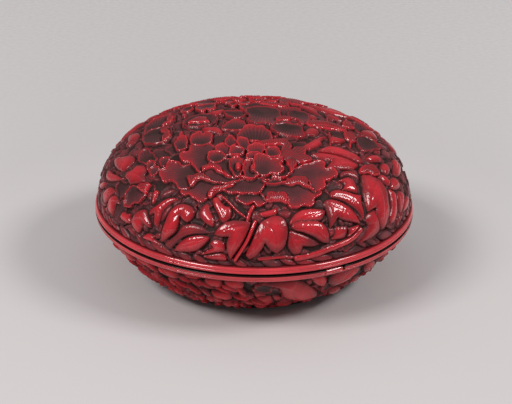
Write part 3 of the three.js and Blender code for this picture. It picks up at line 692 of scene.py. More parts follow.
PEONY_SHARES: tuple[Petal | Stem, ...] = (
    # The outermost tier, lowest
    Petal((-8.5-65.5j, -6.8-68.3j, -4.5-69.9j, -1.5-69.6j, 0-68.8j, 1.5-70.2j, 4.2-70.1j, 6.2-67.8j, 7-64j,
        3-62j, -4-63j), (), 0.25, 0.66),
    Petal((6-67.8j, 6.2-64.2j, 7.8-62.5j, 10.5-63.2j, 13-62.3j, 15-63.5j, 15.6-67j, 17.5-70.2j, 20.2-69.4j,
        22.5-68.3j, 26-67.6j, 28.2-65.5j, 27.9-63.2j, 31.2-60.6j, 31-58.5j, 22-54j, 12-54j, 3-58j, 3-64j), (),
        0.25, 0.74),
    Lip((6-68.2j, 6.2-64.2j, 7.8-62.5j, 10.5-63.2j, 13-62.3j, 15-63.5j, 15.5-67.8j, 13-67.5j, 11-67.3j,
        9-67.5j, 7.5-68.6j), (), 0.4, 0.84, focus=10.5-90j),
    Petal((-34.5-58.8j, -33-61.3j, -30.3-61.8j, -28.8-63.8j, -26-66.2j, -22.8-66.2j, -20.8-64j, -20.6-60.5j,
        -15-58j, -12-55j, -20-50j, -28-52j, -32-56j), (), 0.25, 0.78),
    Petal((-21-65j, -20.6-60.3j, -18-59.2j, -13.5-59j, -10-57j, 0-54j, 5-56j, 4-60.5j, 3-63.3j, 0-63.9j,
        -4-64.3j, -8-63.8j, -12-63.2j, -15-62j, -17.5-62.3j, -19-64.3j), (), 0.3, 0.82),
    Lip((-21-65j, -21-62j, -20-59.8j, -17-58.8j, -13-58.6j, -9-57.2j, -10.5-59.6j, -14-61j, -17-61.4j,
        -19.5-63j), (0,), 0.5, 0.9, focus=-14-84j),
    Petal((-44.8-42.5j, -42.2-42.3j, -41.5-38.8j, -39-37.5j, -36-40j, -33-43j, -28-42j, -24-50j, -29.8-53j,
        -30-56j, -31.5-58j, -34-58j, -36.2-56j, -37-53j, -38.3-51.5j, -40.3-51j, -41.5-51.3j, -43-50.5j,
        -44-48j, -45-45j), (), 0.28, 0.82, 0.95, body_tone=0.3),
    Petal((27-58.7j, 30.8-57.8j, 33-54.8j, 32.8-51.5j, 36-49.2j, 38.6-46.3j, 38-43.2j, 35.3-42.3j, 32.8-43.3j,
        32.3-40j, 30.5-38.4j, 27.5-40.2j, 24-42.5j, 17.5-47.5j, 14-53j, 5-56j, 15-54j, 24-53j), (), 0.36,
        0.86),
    Lip((13-57.3j, 16-54j, 19-52j, 23-51.7j, 24.5-53.5j, 25.5-56j, 27.5-58.5j, 24-57.5j, 20-56.8j, 16-57.8j),
        (0,), 0.5, 0.92, focus=22-76j),
    Stem((3.5-56.5j, 5.5-58.3j, 9-58.5j, 14-56.5j), 0.8, 0.84, 0.95),
    # The middle tier
    Petal((-29.5-57.3j, -30.5-53.5j, -28-50.3j, -24.5-49.7j, -20-46j, -12-48j, -7.5-52j, -7-56.3j, -12-57.6j,
        -17-57.2j, -21-55.5j, -24-53.5j), (0,), 0.32, 0.86),
    Lip((-31.8-50.8j, -29-51j, -26.5-49.5j, -24-50j, -22.5-52j, -20.5-54.8j, -17-56.8j, -20-56j, -23.5-54j,
        -26-53.8j, -28.3-54.5j, -29.5-57j, -30.5-54j), (6,), 0.55, 0.94, focus=-26-74j),
    Petal((-35.3-34.5j, -34-33j, -31.5-32.5j, -30.5-31j, -31-28.5j, -28.5-26.5j, -26.5-28j, -24-27j, -21-28j,
        -19.3-30.5j, -17-33.5j, -17-38j, -19-45j, -23.7-48.3j, -25.3-49.2j, -27.3-47j, -28.2-44.5j, -29.5-42j,
        -32-40.5j, -34.8-37.5j), (), 0.42, 0.86, body_tone=0.42),
    Petal((-24-48.8j, -23.8-45.5j, -20.5-44.3j, -17.5-45.5j, -15.5-48.8j, -12.8-52.3j, -10-54.5j, -8-53.8j,
        -8.5-48j, -10-42j, -16-40j, -20-42j), (0,), 0.3, 0.86, body_tone=0.14),
    Lip((-24-48.8j, -23.8-45.5j, -20.5-44.3j, -17.5-45.5j, -15.5-48.8j, -12.8-52.3j, -10-54.5j, -13.5-53j,
        -17-50j, -19-47.6j, -21.5-47j), (0, 6), 0.6, 0.97, focus=-22-66j),
    Petal((-30.7-20j, -29.5-16.5j, -27-14.3j, -25.5-16j, -24.8-17.5j, -23.5-15j, -21-17.5j, -20.7-23.5j,
        -21.5-27j, -25-28j, -29-27j, -31-24j), (), 0.5, 0.85, body_tone=0.82, hatch=0.02, focus=-24-38j),
    Petal((-35.5-16j, -33-18.5j, -32.3-23j, -33.5-29j, -36-30j, -38-26j, -38.3-21j, -37-17.5j), (0,), 0.4,
        0.8, 0.9, body_tone=0.55, focus=-34-38j),
    Leaf((-37-16j, -37.2-12j, -35.5-9j, -34.8-13j), (2,), 0.35, 0.7, 0.85),
    Petal((-18.5-33j, -17.5-29.5j, -14.5-28j, -11.8-30j, -11-34j, -12.5-37.5j, -15.5-38j, -18-36.5j), (), 0.5,
        0.86, body_tone=0.62, hatch=0.08, focus=-10-46j),
    Petal((-8-23j, -8-18j, -6.5-14j, -5-10.5j, -2.5-8j, -0.5-9.5j, 0.5-10.5j, 2.5-9.5j, 5-13j, 7-17j, 7.8-21j,
        7-25j, 4-26j, 0-26j, -4-25j), (), 0.6, 0.95, 0.95, body_tone=0.62, hatch=0.12, pitch=1.5,
        focus=0-42j),
    Petal((-14-27j, -13.5-23j, -11.8-20.5j, -10-23j, -9-26.5j, -10-30j, -12-30.5j, -13.5-29j), (), 0.3, 0.84,
        body_tone=0.25, focus=-9-38j),
    Lip((2-27j, 4.5-24.5j, 8-23.3j, 12-22.5j, 14.8-22.7j, 16.5-25.5j, 17-30j, 15-29j, 12-28j, 8-28.5j,
        5-29.5j, 2.5-29.5j), (), 0.5, 0.93, focus=8-44j),
    Petal((-8.5-25j, -7-22.5j, -4.5-23.5j, -3-27j, -3-31j, -5-33.5j, -7-32j, -8-28.5j), (), 0.45, 0.85,
        body_tone=0.5, focus=-4-44j),
    Petal((-11.5-33j, -10-30.5j, -8-31.5j, -5-34j, -5.5-36.5j, -8.5-38j, -11.5-38j), (), 0.45, 0.88,
        body_tone=0.5, focus=-5-46j),
    Lip((11-38j, 12-33j, 14-28.5j, 16.5-28j, 17-32j, 18.5-30j, 21-28.8j, 23.5-29.3j, 24-32.5j, 23-35.5j,
        25.5-36j, 26.3-38.5j, 24.5-41j, 21-41.8j, 17-42j, 13-41j), (4, 9), 0.55, 0.92, 0.95, body_tone=0.6,
        focus=10-48j),
    Petal((5-35j, 6.5-31.8j, 9-31.3j, 11-33j, 11.5-37j, 9-39.5j, 6-38.5j), (), 0.4, 0.88, body_tone=0.4,
        focus=4-46j),
    Lip((14.8-42j, 17-40.8j, 19.3-42j, 18.5-46j, 17-49.3j, 15.8-46.5j), (4,), 0.5, 0.88, focus=17-56j),
    # The heart
    Petal((-21.8-38j, -20.5-35.2j, -17-35j, -14.5-37j, -14-40.5j, -16-43.2j, -19.5-43.3j, -21.5-41j), (),
        0.42, 0.9, body_tone=0.35, focus=-16-48j),
    Petal((-3.5-34j, -2-30j, 1-28.5j, 3.8-30.5j, 4-35j, 2-38j, -1-38.5j, -3.2-37j), (), 0.48, 0.9,
        body_tone=0.5, focus=-1-48j),
    Petal((-4-40j, -2-37j, 1.5-37j, 3.5-39.5j, 1-42.5j, -2-43j), (), 0.5, 0.92, body_tone=0.5, focus=-1-50j),
    Petal((-11.5-46j, -10.5-41j, -8-40j, -6.2-42.5j, -6-49j, -7.5-54j, -10-52j), (), 0.25, 0.88,
        body_tone=0.16, focus=-8-56j),
    Leaf((-9-46j, -8.2-44.5j, -6.5-45.5j, -6.3-48.5j, -7.4-50j, -8.8-49j), (), 0.6, 0.95),
    Petal((-5-46j, -3.5-42.5j, -1-42j, 1-45j, 1-51j, -0.5-55j, -3-56j, -5-52j), (), 0.25, 0.9, body_tone=0.2,
        focus=-2-58j),
    Leaf((-2-47j, -0.8-45j, 0.5-46.5j, 0.3-50j, -1-51j, -2-49.5j), (), 0.6, 0.96),
    Petal((0-40j, 4-38.5j, 6.5-41j, 10-42j, 12.7-40j, 13-43j, 11.5-45j, 13-48j, 12.5-51j, 11-52j, 7.8-51.5j,
        6-53.3j, 2-53.2j, 0-50j), (), 0.55, 1.0, body_tone=0.55, focus=1-54j),
    Stem((-6.5-54j, -1-55.8j, 2-53.2j), 0.7, 0.9, 0.95),
    Stem((8-54j, 13.5-53.8j, 16-51.5j), 0.7, 0.88, 0.95),
)

# Small motifs that fill what the others leave, in hundredths of their own length
LOBED_LEAF_SHARES = Leaf((0+100j, 14+78j, 22+58j, 44+66j, 70+60j, 52+36j, 34+18j, 20+4j, 0+0j, -20+4j,
    -34+18j, -52+36j, -70+60j, -44+66j, -22+58j, -14+78j), (0, 4, 12), 0.3, 0.75, 0.95, veins=((0+2j, 2+50j,
    0+96j), (0+4j, 30+36j, 66+58j), (0+4j, -30+36j, -66+58j)))
SPEAR_LEAF_SHARES = Leaf((0+100j, 20+74j, 27+45j, 18+14j, 0+0j, -16+16j, -24+46j, -17+76j), (0, 4), 0.3, 0.75,
    0.95, veins=((0+4j, 4+50j, 0+95j),))
BLADE_LEAF_SHARES = Leaf((0+100j, 9+78j, 14+50j, 9+18j, 0+0j, -8+18j, -12+48j, -8+78j), (0, 4), 0.3, 0.75,
    0.95)
FAN_PETAL_SHARES = Petal((-14+0j, -40+30j, -56+58j, -50+78j, -34+80j, -24+94j, -6+96j, 2+86j, 12+98j, 32+94j,
    38+80j, 54+74j, 56+54j, 40+28j, 14+0j), (), 0.25, 0.8, 0.8, body_tone=0.3, focus=0-30j)
BEAD_SHARES = Leaf((0+100j, 71+71j, 100+0j, 71-71j, 0-100j, -71-71j, -100+0j, -71+71j), (), 0.3, 1.0, 1.0)


@dataclass(frozen=True)
class Curve:
    """A quarter of a superellipse, which a half of the box is turned to."""

    inner: float
    outer: float
    foot: float
    top: float
    side_squareness: float
    end_squareness: float

    def points(self, depth: float = 0.0, steps: int = 2000, end: float | None = None) -> Array:
        """The curve at a depth below its outside.

        Args:
            depth: How far below the outside, in metres.
            steps: Straight lengths along the curve.
            end: The height of the inner end, where the depth doesn't give it.

        Returns:
            Radius and height of each point, from the shoulder to the inner end.
        """
        turn = np.linspace(0, math.pi / 2, steps + 1)
        cos, sin = np.cos(turn), np.sin(turn)
        cos[-1] = 0
        run = self.outer - depth - self.inner
        rise = self.top - self.foot
        rise = rise - math.copysign(depth, rise) if end is None else end - self.foot
        return np.stack([self.inner + run * cos ** (2 / self.side_squareness),
                         self.foot + rise * sin ** (2 / self.end_squareness)], 1)


def ring(radius: float, z: float, count: int, start: float = 0.0) -> Array:
    """The places of a level ring of vertices, the first of them at the angle start."""
    turn = start + TURN * np.arange(count) / count
    return np.stack([radius * np.cos(turn), radius * np.sin(turn), np.full(count, z)], 1)


def ring_faces(first: Array, second: Array) -> list[tuple[int, ...]]:
    """Faces between two rings of vertices, the second as long as the first or half as long.

    Args:
        first: The numbers of the first ring's vertices.
        second: The numbers of the second ring's.

    Returns:
        The faces, as tuples of vertex numbers.
    """
    ahead, over = np.roll(first, -1), np.roll(second, -1)
    if len(first) == len(second):
        return list(zip(first.tolist(), ahead.tolist(), over.tolist(), second.tolist()))
    faces = []
    for i, (near, far) in enumerate(zip(second.tolist(), over.tolist())):
        a, b, c = (int(first[(2 * i + k) % len(first)]) for k in range(3))
        faces += [(a, b, near), (b, far, near), (b, c, far)]
    return faces


def band_faces(rings: list[Array]) -> list[tuple[int, ...]]:
    """Faces between each ring of vertices and the next."""
    return [face for here, there in zip(rings[:-1], rings[1:]) for face in ring_faces(here, there)]


def make_mesh(name: str, vertices: Array, faces: list[tuple[int, ...]]) -> Piece:
    """Makes a smooth-shaded object from vertices and faces.

    Args:
        name: What the piece is called.
        vertices: Places of the vertices, in metres.
        faces: Tuples of vertex numbers.

    Returns:
        The new object, linked to the scene.
    """
    mesh = bpy.data.meshes.new(name)
    sizes = np.fromiter((len(face) for face in faces), np.int32, len(faces))
    corners = np.fromiter((v for face in faces for v in face), np.int32, int(sizes.sum()))
    mesh.vertices.add(len(vertices))
    mesh.vertices.foreach_set("co", np.asarray(vertices, np.float32).ravel())
    mesh.loops.add(len(corners))
    mesh.loops.foreach_set("vertex_index", corners)
    mesh.polygons.add(len(faces))
    mesh.polygons.foreach_set("loop_start", np.concatenate([[0], np.cumsum(sizes)[:-1]]).astype(np.int32))
    mesh.polygons.foreach_set("loop_total", sizes)
    mesh.update(calc_edges=True)
    mesh.shade_smooth()
    piece = bpy.data.objects.new(name, mesh)
    bpy.context.scene.collection.objects.link(piece)
    return piece


def give_values(piece: Piece, name: str, values: Array) -> None:
    """Stores one value for each vertex, for the materials to read."""
    layer = piece.data.attributes.new(name, "FLOAT", "POINT")
    layer.data.foreach_set("value", np.asarray(values, np.float32))


def give_bake_map(piece: Piece, places: Array) -> None:
    """Stores where each vertex lies on the map that the finish is baked to.

    Args:
        piece: The piece.
        places: The places on the map, one row for each vertex.
    """
    layer = piece.data.uv_layers.new(name="OFBake")
    corners = np.zeros(len(piece.data.loops), np.int32)
    piece.data.loops.foreach_get("vertex_index", corners)
    layer.data.foreach_set("uv", places[corners].astype(np.float32).ravel())


class Nodes:
    """A material whose nodes are added one by one."""

    def __init__(self, name: str) -> None:
        """Starts a material with a principled surface.

        Args:
            name: What the material is called.
        """
        self.material = bpy.data.materials.new(name)
        self.material.use_nodes = True
        self.tree = self.material.node_tree
        self.surface = self.tree.nodes["Principled BSDF"]
        self.place = self.add("ShaderNodeTexCoord").outputs["Object"]

    def add(self, kind: str, **settings: object) -> bpy.types.Node:
        """Adds a node and sets its properties or its inputs.

        Args:
            kind: Blender's name of the node.
            **settings: Values, by the name of a property or of an input.

        Returns:
            The node.
        """
        node = self.tree.nodes.new(kind)
        for name, value in settings.items():
            if hasattr(node, name):
                setattr(node, name, value)
            else:
                node.inputs[name.replace("_", " ").title()].default_value = value
        return node

    def link(self, output: Socket, target: Socket) -> None:
        """Joins an output to an input."""
        self.tree.links.new(output, target)

    def feed(self, target: Socket, source: object) -> None:
        """Joins a socket to an input, or sets the input to a number or a colour."""
        if isinstance(source, Socket):
            self.link(source, target)
        else:
            target.default_value = (*source, 1) if isinstance(source, tuple) else source

    def drive(self, name: str, source: object) -> None:
        """Feeds one of the surface's own inputs."""
        self.feed(self.surface.inputs[name], source)

    def noise(self, scale: float, detail: float = 2.0, stretch: Vector | None = None) -> Socket:
        """Soft noise over the object.

        Args:
            scale: Patches in a metre.
            detail: How many finer layers it has.
            stretch: How the pattern is scaled along each axis, where it isn't even.

        Returns:
            The socket that holds the noise, from 0 to 1.
        """
        node = self.add("ShaderNodeTexNoise", scale=scale, detail=detail)
        place = self.place
        if stretch is not None:
            scaled = self.add("ShaderNodeVectorMath", operation="MULTIPLY")
            scaled.inputs[1].default_value = stretch
            self.link(place, scaled.inputs[0])
            place = scaled.outputs[0]
        self.link(place, node.inputs["Vector"])
        return node.outputs["Fac"]

    def value(self, name: str) -> Socket:
        """A value that the mesh stores for each vertex."""
        return self.add("ShaderNodeAttribute", attribute_name=name).outputs["Fac"]

    def math(self, operation: str, first: object, second: object) -> Socket:
        """One step of arithmetic.

        Args:
            operation: Blender's name of the operation.
            first: A socket or a number.
            second: A socket or a number.

        Returns:
            The socket that holds the result.
        """
        node = self.add("ShaderNodeMath", operation=operation)
        self.feed(node.inputs[0], first)
        self.feed(node.inputs[1], second)
        return node.outputs[0]

    def spread(self, source: Socket, low: float, high: float, start: float = 0.0, end: float = 1.0) -> Socket:
        """Maps a value from one range to another.

        Args:
            source: The socket to read.
            low: What it gives at the start of the range.
            high: What it gives at the end.
            start: Where the range read starts.
            end: Where it ends.

        Returns:
            The socket that holds the mapped value.
        """
        node = self.add("ShaderNodeMapRange", from_min=start, from_max=end, to_min=low, to_max=high)
        self.link(source, node.inputs["Value"])
        return node.outputs["Result"]

    def ramp(self, source: Socket, stops: tuple[tuple[float, Colour], ...]) -> Socket:
        """Colours along a value.

        Args:
            source: The socket to read.
            stops: Where each colour stands, and the colour.

        Returns:
            The socket that holds the colour.
        """
        node = self.add("ShaderNodeValToRGB")
        elements = node.color_ramp.elements
        while len(elements) < len(stops):
            elements.new(1.0)
        for element, (place, colour) in zip(elements, stops):
            element.position = place
            element.color = (*colour, 1)
        self.link(source, node.inputs["Fac"])
        return node.outputs["Color"]

    def mix(self, share: Socket, first: object, second: object) -> Socket:
        """Mixes two colours.

        Args:
            share: How much of the second colour to take.
            first: A socket or a colour.
            second: A socket or a colour.

        Returns:
            The socket that holds the colour.
        """
        node = self.add("ShaderNodeMix", data_type="RGBA")
        self.link(share, node.inputs["Factor"])
        colours = [target for target in node.inputs if target.type == "RGBA"]
        for target, source in zip(colours, (first, second)):
            self.feed(target, source)
        return next(output for output in node.outputs if output.type == "RGBA")

    def bump(self, source: Socket, strength: float, distance: float) -> None:
        """Adds fine unevenness to the surface.

        Args:
            source: The height to read.
            strength: How much of it shows.
            distance: The height of 1, in metres.
        """
        node = self.add("ShaderNodeBump", strength=strength, distance=distance)
        self.link(source, node.inputs["Height"])
        self.drive("Normal", node.outputs["Normal"])


# In the finishes, a pattern's size is in patches to the metre, and a grain's height is in metres.
@dataclass(frozen=True)
class CarvedLacquer:
    """Red lacquer, carved: bright on what stands proud, with painted shade and patina in the hollows."""

    ground: Colour = (0.034, 0.019, 0.017)
    wine: Colour = (0.095, 0.025, 0.029)
    red: Colour = (0.29, 0.008, 0.014)
    bright: Colour = (0.53, 0.011, 0.022)
    name: str = "carved_red_lacquer"
    gloss: float = 0.75
    patches: float = 120.0
    specks: float = 900.0
    rubbing: float = 240.0
    grain: float = 1100.0
    grain_height: float = 0.05 * MM

    def build(self) -> bpy.types.Material:
        """Makes the material, which reads the tone and the cavity that the carving stored.

        Returns:
            The material.
        """
        nodes = Nodes(self.name)
        patches = nodes.spread(nodes.noise(self.patches, 4), -0.17, 0.15, 0.25, 0.75)
        tone = nodes.math("ADD", nodes.value("tone"), patches)
        stops = ((0.0, self.ground), (0.3, self.wine), (0.65, self.red), (1.0, self.bright))
        colour = nodes.ramp(tone, stops)
        # Painted shade, with the patina that gathers there: the colour darkens to the ground's in the
        # hollows, and the gloss dulls there
        hollow = nodes.spread(nodes.value("cavity"), 0, 0.95, 0.02, 0.26)
        colour = nodes.mix(hollow, colour, self.ground)
        specks = nodes.spread(nodes.noise(self.specks, 2), 0, 0.2, 0.45, 0.7)
        nodes.drive("Base Color", nodes.mix(specks, colour, self.wine))
        rubbing = nodes.spread(nodes.noise(self.rubbing, 3), -0.03, 0.06, 0.3, 0.7)
        rough = nodes.math("ADD", nodes.spread(tone, 0.42, 0.1), rubbing)
        nodes.drive("Roughness", nodes.math("ADD", rough, nodes.spread(hollow, 0, 0.4)))
        gloss = nodes.spread(tone, 0.1, self.gloss, 0.25, 0.95)
        nodes.drive("Specular IOR Level", nodes.math("MULTIPLY", gloss, nodes.spread(hollow, 1, 0.15)))
        nodes.bump(nodes.noise(self.grain, 3), 0.2, self.grain_height)
        return nodes.material


@dataclass(frozen=True)
class SmoothLacquer:
    """Red lacquer left smooth on the mouldings, rubbed lighter than the carving."""

    deep: Colour = (0.48, 0.018, 0.028)
    worn: Colour = (0.72, 0.042, 0.058)
    # The colour of the cracks, which is also the painted shade at the mouth and the shelf
    crack: Colour = (0.02, 0.008, 0.007)
    wear: float = 45.0
    rubbing: float = 160.0
    grain: float = 700.0
    grain_height: float = 0.05 * MM

    def build(self) -> bpy.types.Material:
        """Makes the material, which reads the dark that the moulding stored: its cracks, and the painted
        shade at its mouth and shelf.

        Returns:
            The material.
        """
        nodes = Nodes("smooth_red_lacquer")
        wear = nodes.spread(nodes.noise(self.wear, 4), 0, 1, 0.3, 0.72)
        crack = nodes.value("crack")
        nodes.drive("Base Color", nodes.mix(crack, nodes.mix(wear, self.deep, self.worn), self.crack))
        nodes.drive("Roughness", nodes.spread(nodes.noise(self.rubbing, 3), 0.1, 0.2, 0.3, 0.7))
        nodes.drive("Specular IOR Level", nodes.spread(crack, 0.8, 0.1))
        nodes.bump(nodes.noise(self.grain, 3), 0.15, self.grain_height)
        return nodes.material


@dataclass(frozen=True)
class BlackLacquer:
    """Thin black lacquer, a little brown where it is rubbed."""

    black: Colour = (0.012, 0.009, 0.008)
    brown: Colour = (0.055, 0.026, 0.018)
    wear: float = 35.0
    rubbing: float = 120.0
    grain: float = 420.0
    grain_height: float = 0.05 * MM

    def build(self) -> bpy.types.Material:
        """Makes the material.

        Returns:
            The material.
        """
        nodes = Nodes("black_lacquer")
        wear = nodes.spread(nodes.noise(self.wear, 5), 0, 0.8, 0.42, 0.75)
        nodes.drive("Base Color", nodes.mix(wear, self.black, self.brown))
        nodes.drive("Roughness", nodes.spread(nodes.noise(self.rubbing, 4), 0.16, 0.36, 0.3, 0.7))
        nodes.bump(nodes.noise(self.grain, 3), 0.15, self.grain_height)
        nodes.drive("Coat Weight", 0.3)
        nodes.drive("Coat Roughness", 0.1)
        return nodes.material


@dataclass(frozen=True)
class TurnedWood:
    """Plain turned wood, with its rings along the grain."""

    pale: Colour = (0.42, 0.25, 0.13)
    dark: Colour = (0.20, 0.105, 0.05)
    grain: float = 30.0
    along_grain: tuple[float, float, float] = (1, 9, 9)
    grain_height: float = 0.1 * MM

    def build(self) -> bpy.types.Material:
        """Makes the material.

        Returns:
            The material.
        """
        nodes = Nodes("turned_wood")
        grain = nodes.noise(self.grain, 6, Vector(self.along_grain))
        nodes.drive("Base Color", nodes.mix(nodes.spread(grain, 0, 1, 0.3, 0.7), self.pale, self.dark))
        nodes.drive("Roughness", nodes.spread(grain, 0.6, 0.78))
        nodes.bump(grain, 0.3, self.grain_height)
        return nodes.material


@dataclass(frozen=True)
class ClothAndClay:
    """Cloth set in clay and lacquer, under the coats."""

    clay: Colour = (0.13, 0.09, 0.065)
    thread: Colour = (0.22, 0.17, 0.12)
    weave: float = 1400.0
    dust: float = 300.0
    thread_height: float = 0.1 * MM

    def build(self) -> bpy.types.Material:
        """Makes the material.

        Returns:
            The material.
        """
        nodes = Nodes("cloth_and_clay")
        wave = nodes.add("ShaderNodeTexWave", scale=self.weave / TURN, distortion=1.5)
        nodes.link(nodes.place, wave.inputs["Vector"])
        nodes.drive("Base Color", nodes.mix(wave.outputs["Fac"], self.clay, self.thread))
        nodes.drive("Roughness", nodes.spread(nodes.noise(self.dust), 0.8, 0.95))
        nodes.bump(wave.outputs["Fac"], 0.4, self.thread_height)
        return nodes.material


def dress(piece: Piece, material: bpy.types.Material, body: Body, slot: Slot,
          *nodes: str) -> Piece:
    """Gives a piece its finish and its place in the model.

    Args:
        piece: The piece.
        material: Its finish.
        body: The half that it moves with.
        slot: The record's name of its finish; not used.
        *nodes: The construction solids that it stands for.

    Returns:
        The same piece.
    """
    piece.data.materials.clear()
    piece.data.materials.append(material)
    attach(piece, body.value)
    if nodes:
        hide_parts(*nodes)
    return piece


def raised_noise(x: Array, y: Array, seed: int, longest: float, layers: int) -> Array:
    """Gentle unevenness from sums of waves in many directions.

    Args:
        x: Where to read it, in millimetres.
        y: Where to read it, in millimetres.
        seed: What the waves are drawn from.
        longest: The longest wave, in millimetres.
        layers: How many waves there are.

    Returns:
        The unevenness, about from -1 to 1.
    """
    chance = np.random.default_rng(seed)
    total = np.zeros_like(x)
    for layer in range(layers):
        length = longest / 1.35 ** (layer % 6)
        angle, phase = chance.uniform(0, TURN, 2)
        total += np.sin(TURN * (x * math.cos(angle) + y * math.sin(angle)) / length + phase)
    return total / math.sqrt(layers)


@dataclass
class CarvedCoat:
    """What the two carved coats share: a relief laid on a turned curve, closed from the inside."""

    coat: float = 3.4 * MM
    carving: float = 2.8 * MM
    bond: float = 0.2 * MM
    core_depth: float = 4.5 * MM
    lining_depth: float = 7.7 * MM
    uneven: float = 0.011
    uneven_wave: float = 6.0
    knife_marks: float = 0.006
    knife_wave: float = 1.9
    waves: int = 18
    hollow_cells: int = 4
    hidden_tone: float = 0.2
    map_middle: float = 0.5
    map_half: float = 0.49

    def measure(self, curve: Curve) -> None:
        """Measures the curve that the relief is laid on, from its outer end inwards.

        Args:
            curve: The outside of the coat.
        """
        self.curve = curve
        self.line = curve.points()
        step = np.hypot(*np.diff(self.line, axis=0).T)
        self.passed = np.concatenate([[0], np.cumsum(step)])
        self.reach = float(self.passed[-1])
        tangent = np.stack([np.gradient(self.line[:, axis], self.passed) for axis in (0, 1)], 1)
        tangent /= np.linalg.norm(tangent, axis=1)[:, None]
        side = 1 if self.line[-1, 1] > self.line[0, 1] else -1
        self.outward = np.stack([tangent[:, 1], -tangent[:, 0]], 1) * side

    def below(self, passed: Array, depth: Array) -> tuple[Array, Array]:
        """Places at a depth below the curve.

        Args:
            passed: How far along the curve each place is, from its outer end.
            depth: How far below it.

        Returns:
            Radius and height of each place.
        """
        out_r, out_z = (np.interp(passed, self.passed, self.outward[:, axis]) for axis in (0, 1))
        radius, z = (np.interp(passed, self.passed, self.line[:, axis]) for axis in (0, 1))
        return radius - depth * out_r, z - depth * out_z

    def finish_relief(self, relief: Relief, seed: int) -> tuple[Array, Array]:
        """Softens a carved relief and finds its hollows.

        Args:
            relief: The carved relief.
            seed: What the marks of the knife are drawn from.

        Returns:
            The height of each point, and how deep it lies below what is around it.
        """
        rough = raised_noise(relief.x, relief.y, seed, self.uneven_wave, self.waves)
        fine = raised_noise(relief.x, relief.y, seed + 1, self.knife_wave, self.waves)
        height = np.clip(relief.height + self.uneven * rough + self.knife_marks * fine, 0, 1)
        return height, relief.blurred(height, self.hollow_cells) - height

    def close(self, name: str, shells: tuple[Array, Array], faces: list[tuple[int, ...]],
              stored: tuple[Array, Array], maps: tuple[Array, Array]) -> Piece:
        """Makes the closed coat.

        Args:
            name: What the piece is called.
            shells: The vertices of the outside, and those of the inside.
            faces: Tuples of vertex numbers.
            stored: The tone and the cavity of each vertex of the outside.
            maps: Where both shells' vertices lie on the map that the finish is baked to.

        Returns:
            The piece.
        """
        piece = make_mesh(name, np.vstack(shells), faces)
        hidden = len(shells[1])
        give_values(piece, "tone", np.concatenate([stored[0], np.full(hidden, self.hidden_tone)]))
        give_values(piece, "cavity", np.concatenate([stored[1], np.zeros(hidden)]))
        give_bake_map(piece, np.vstack(maps))
        return piece


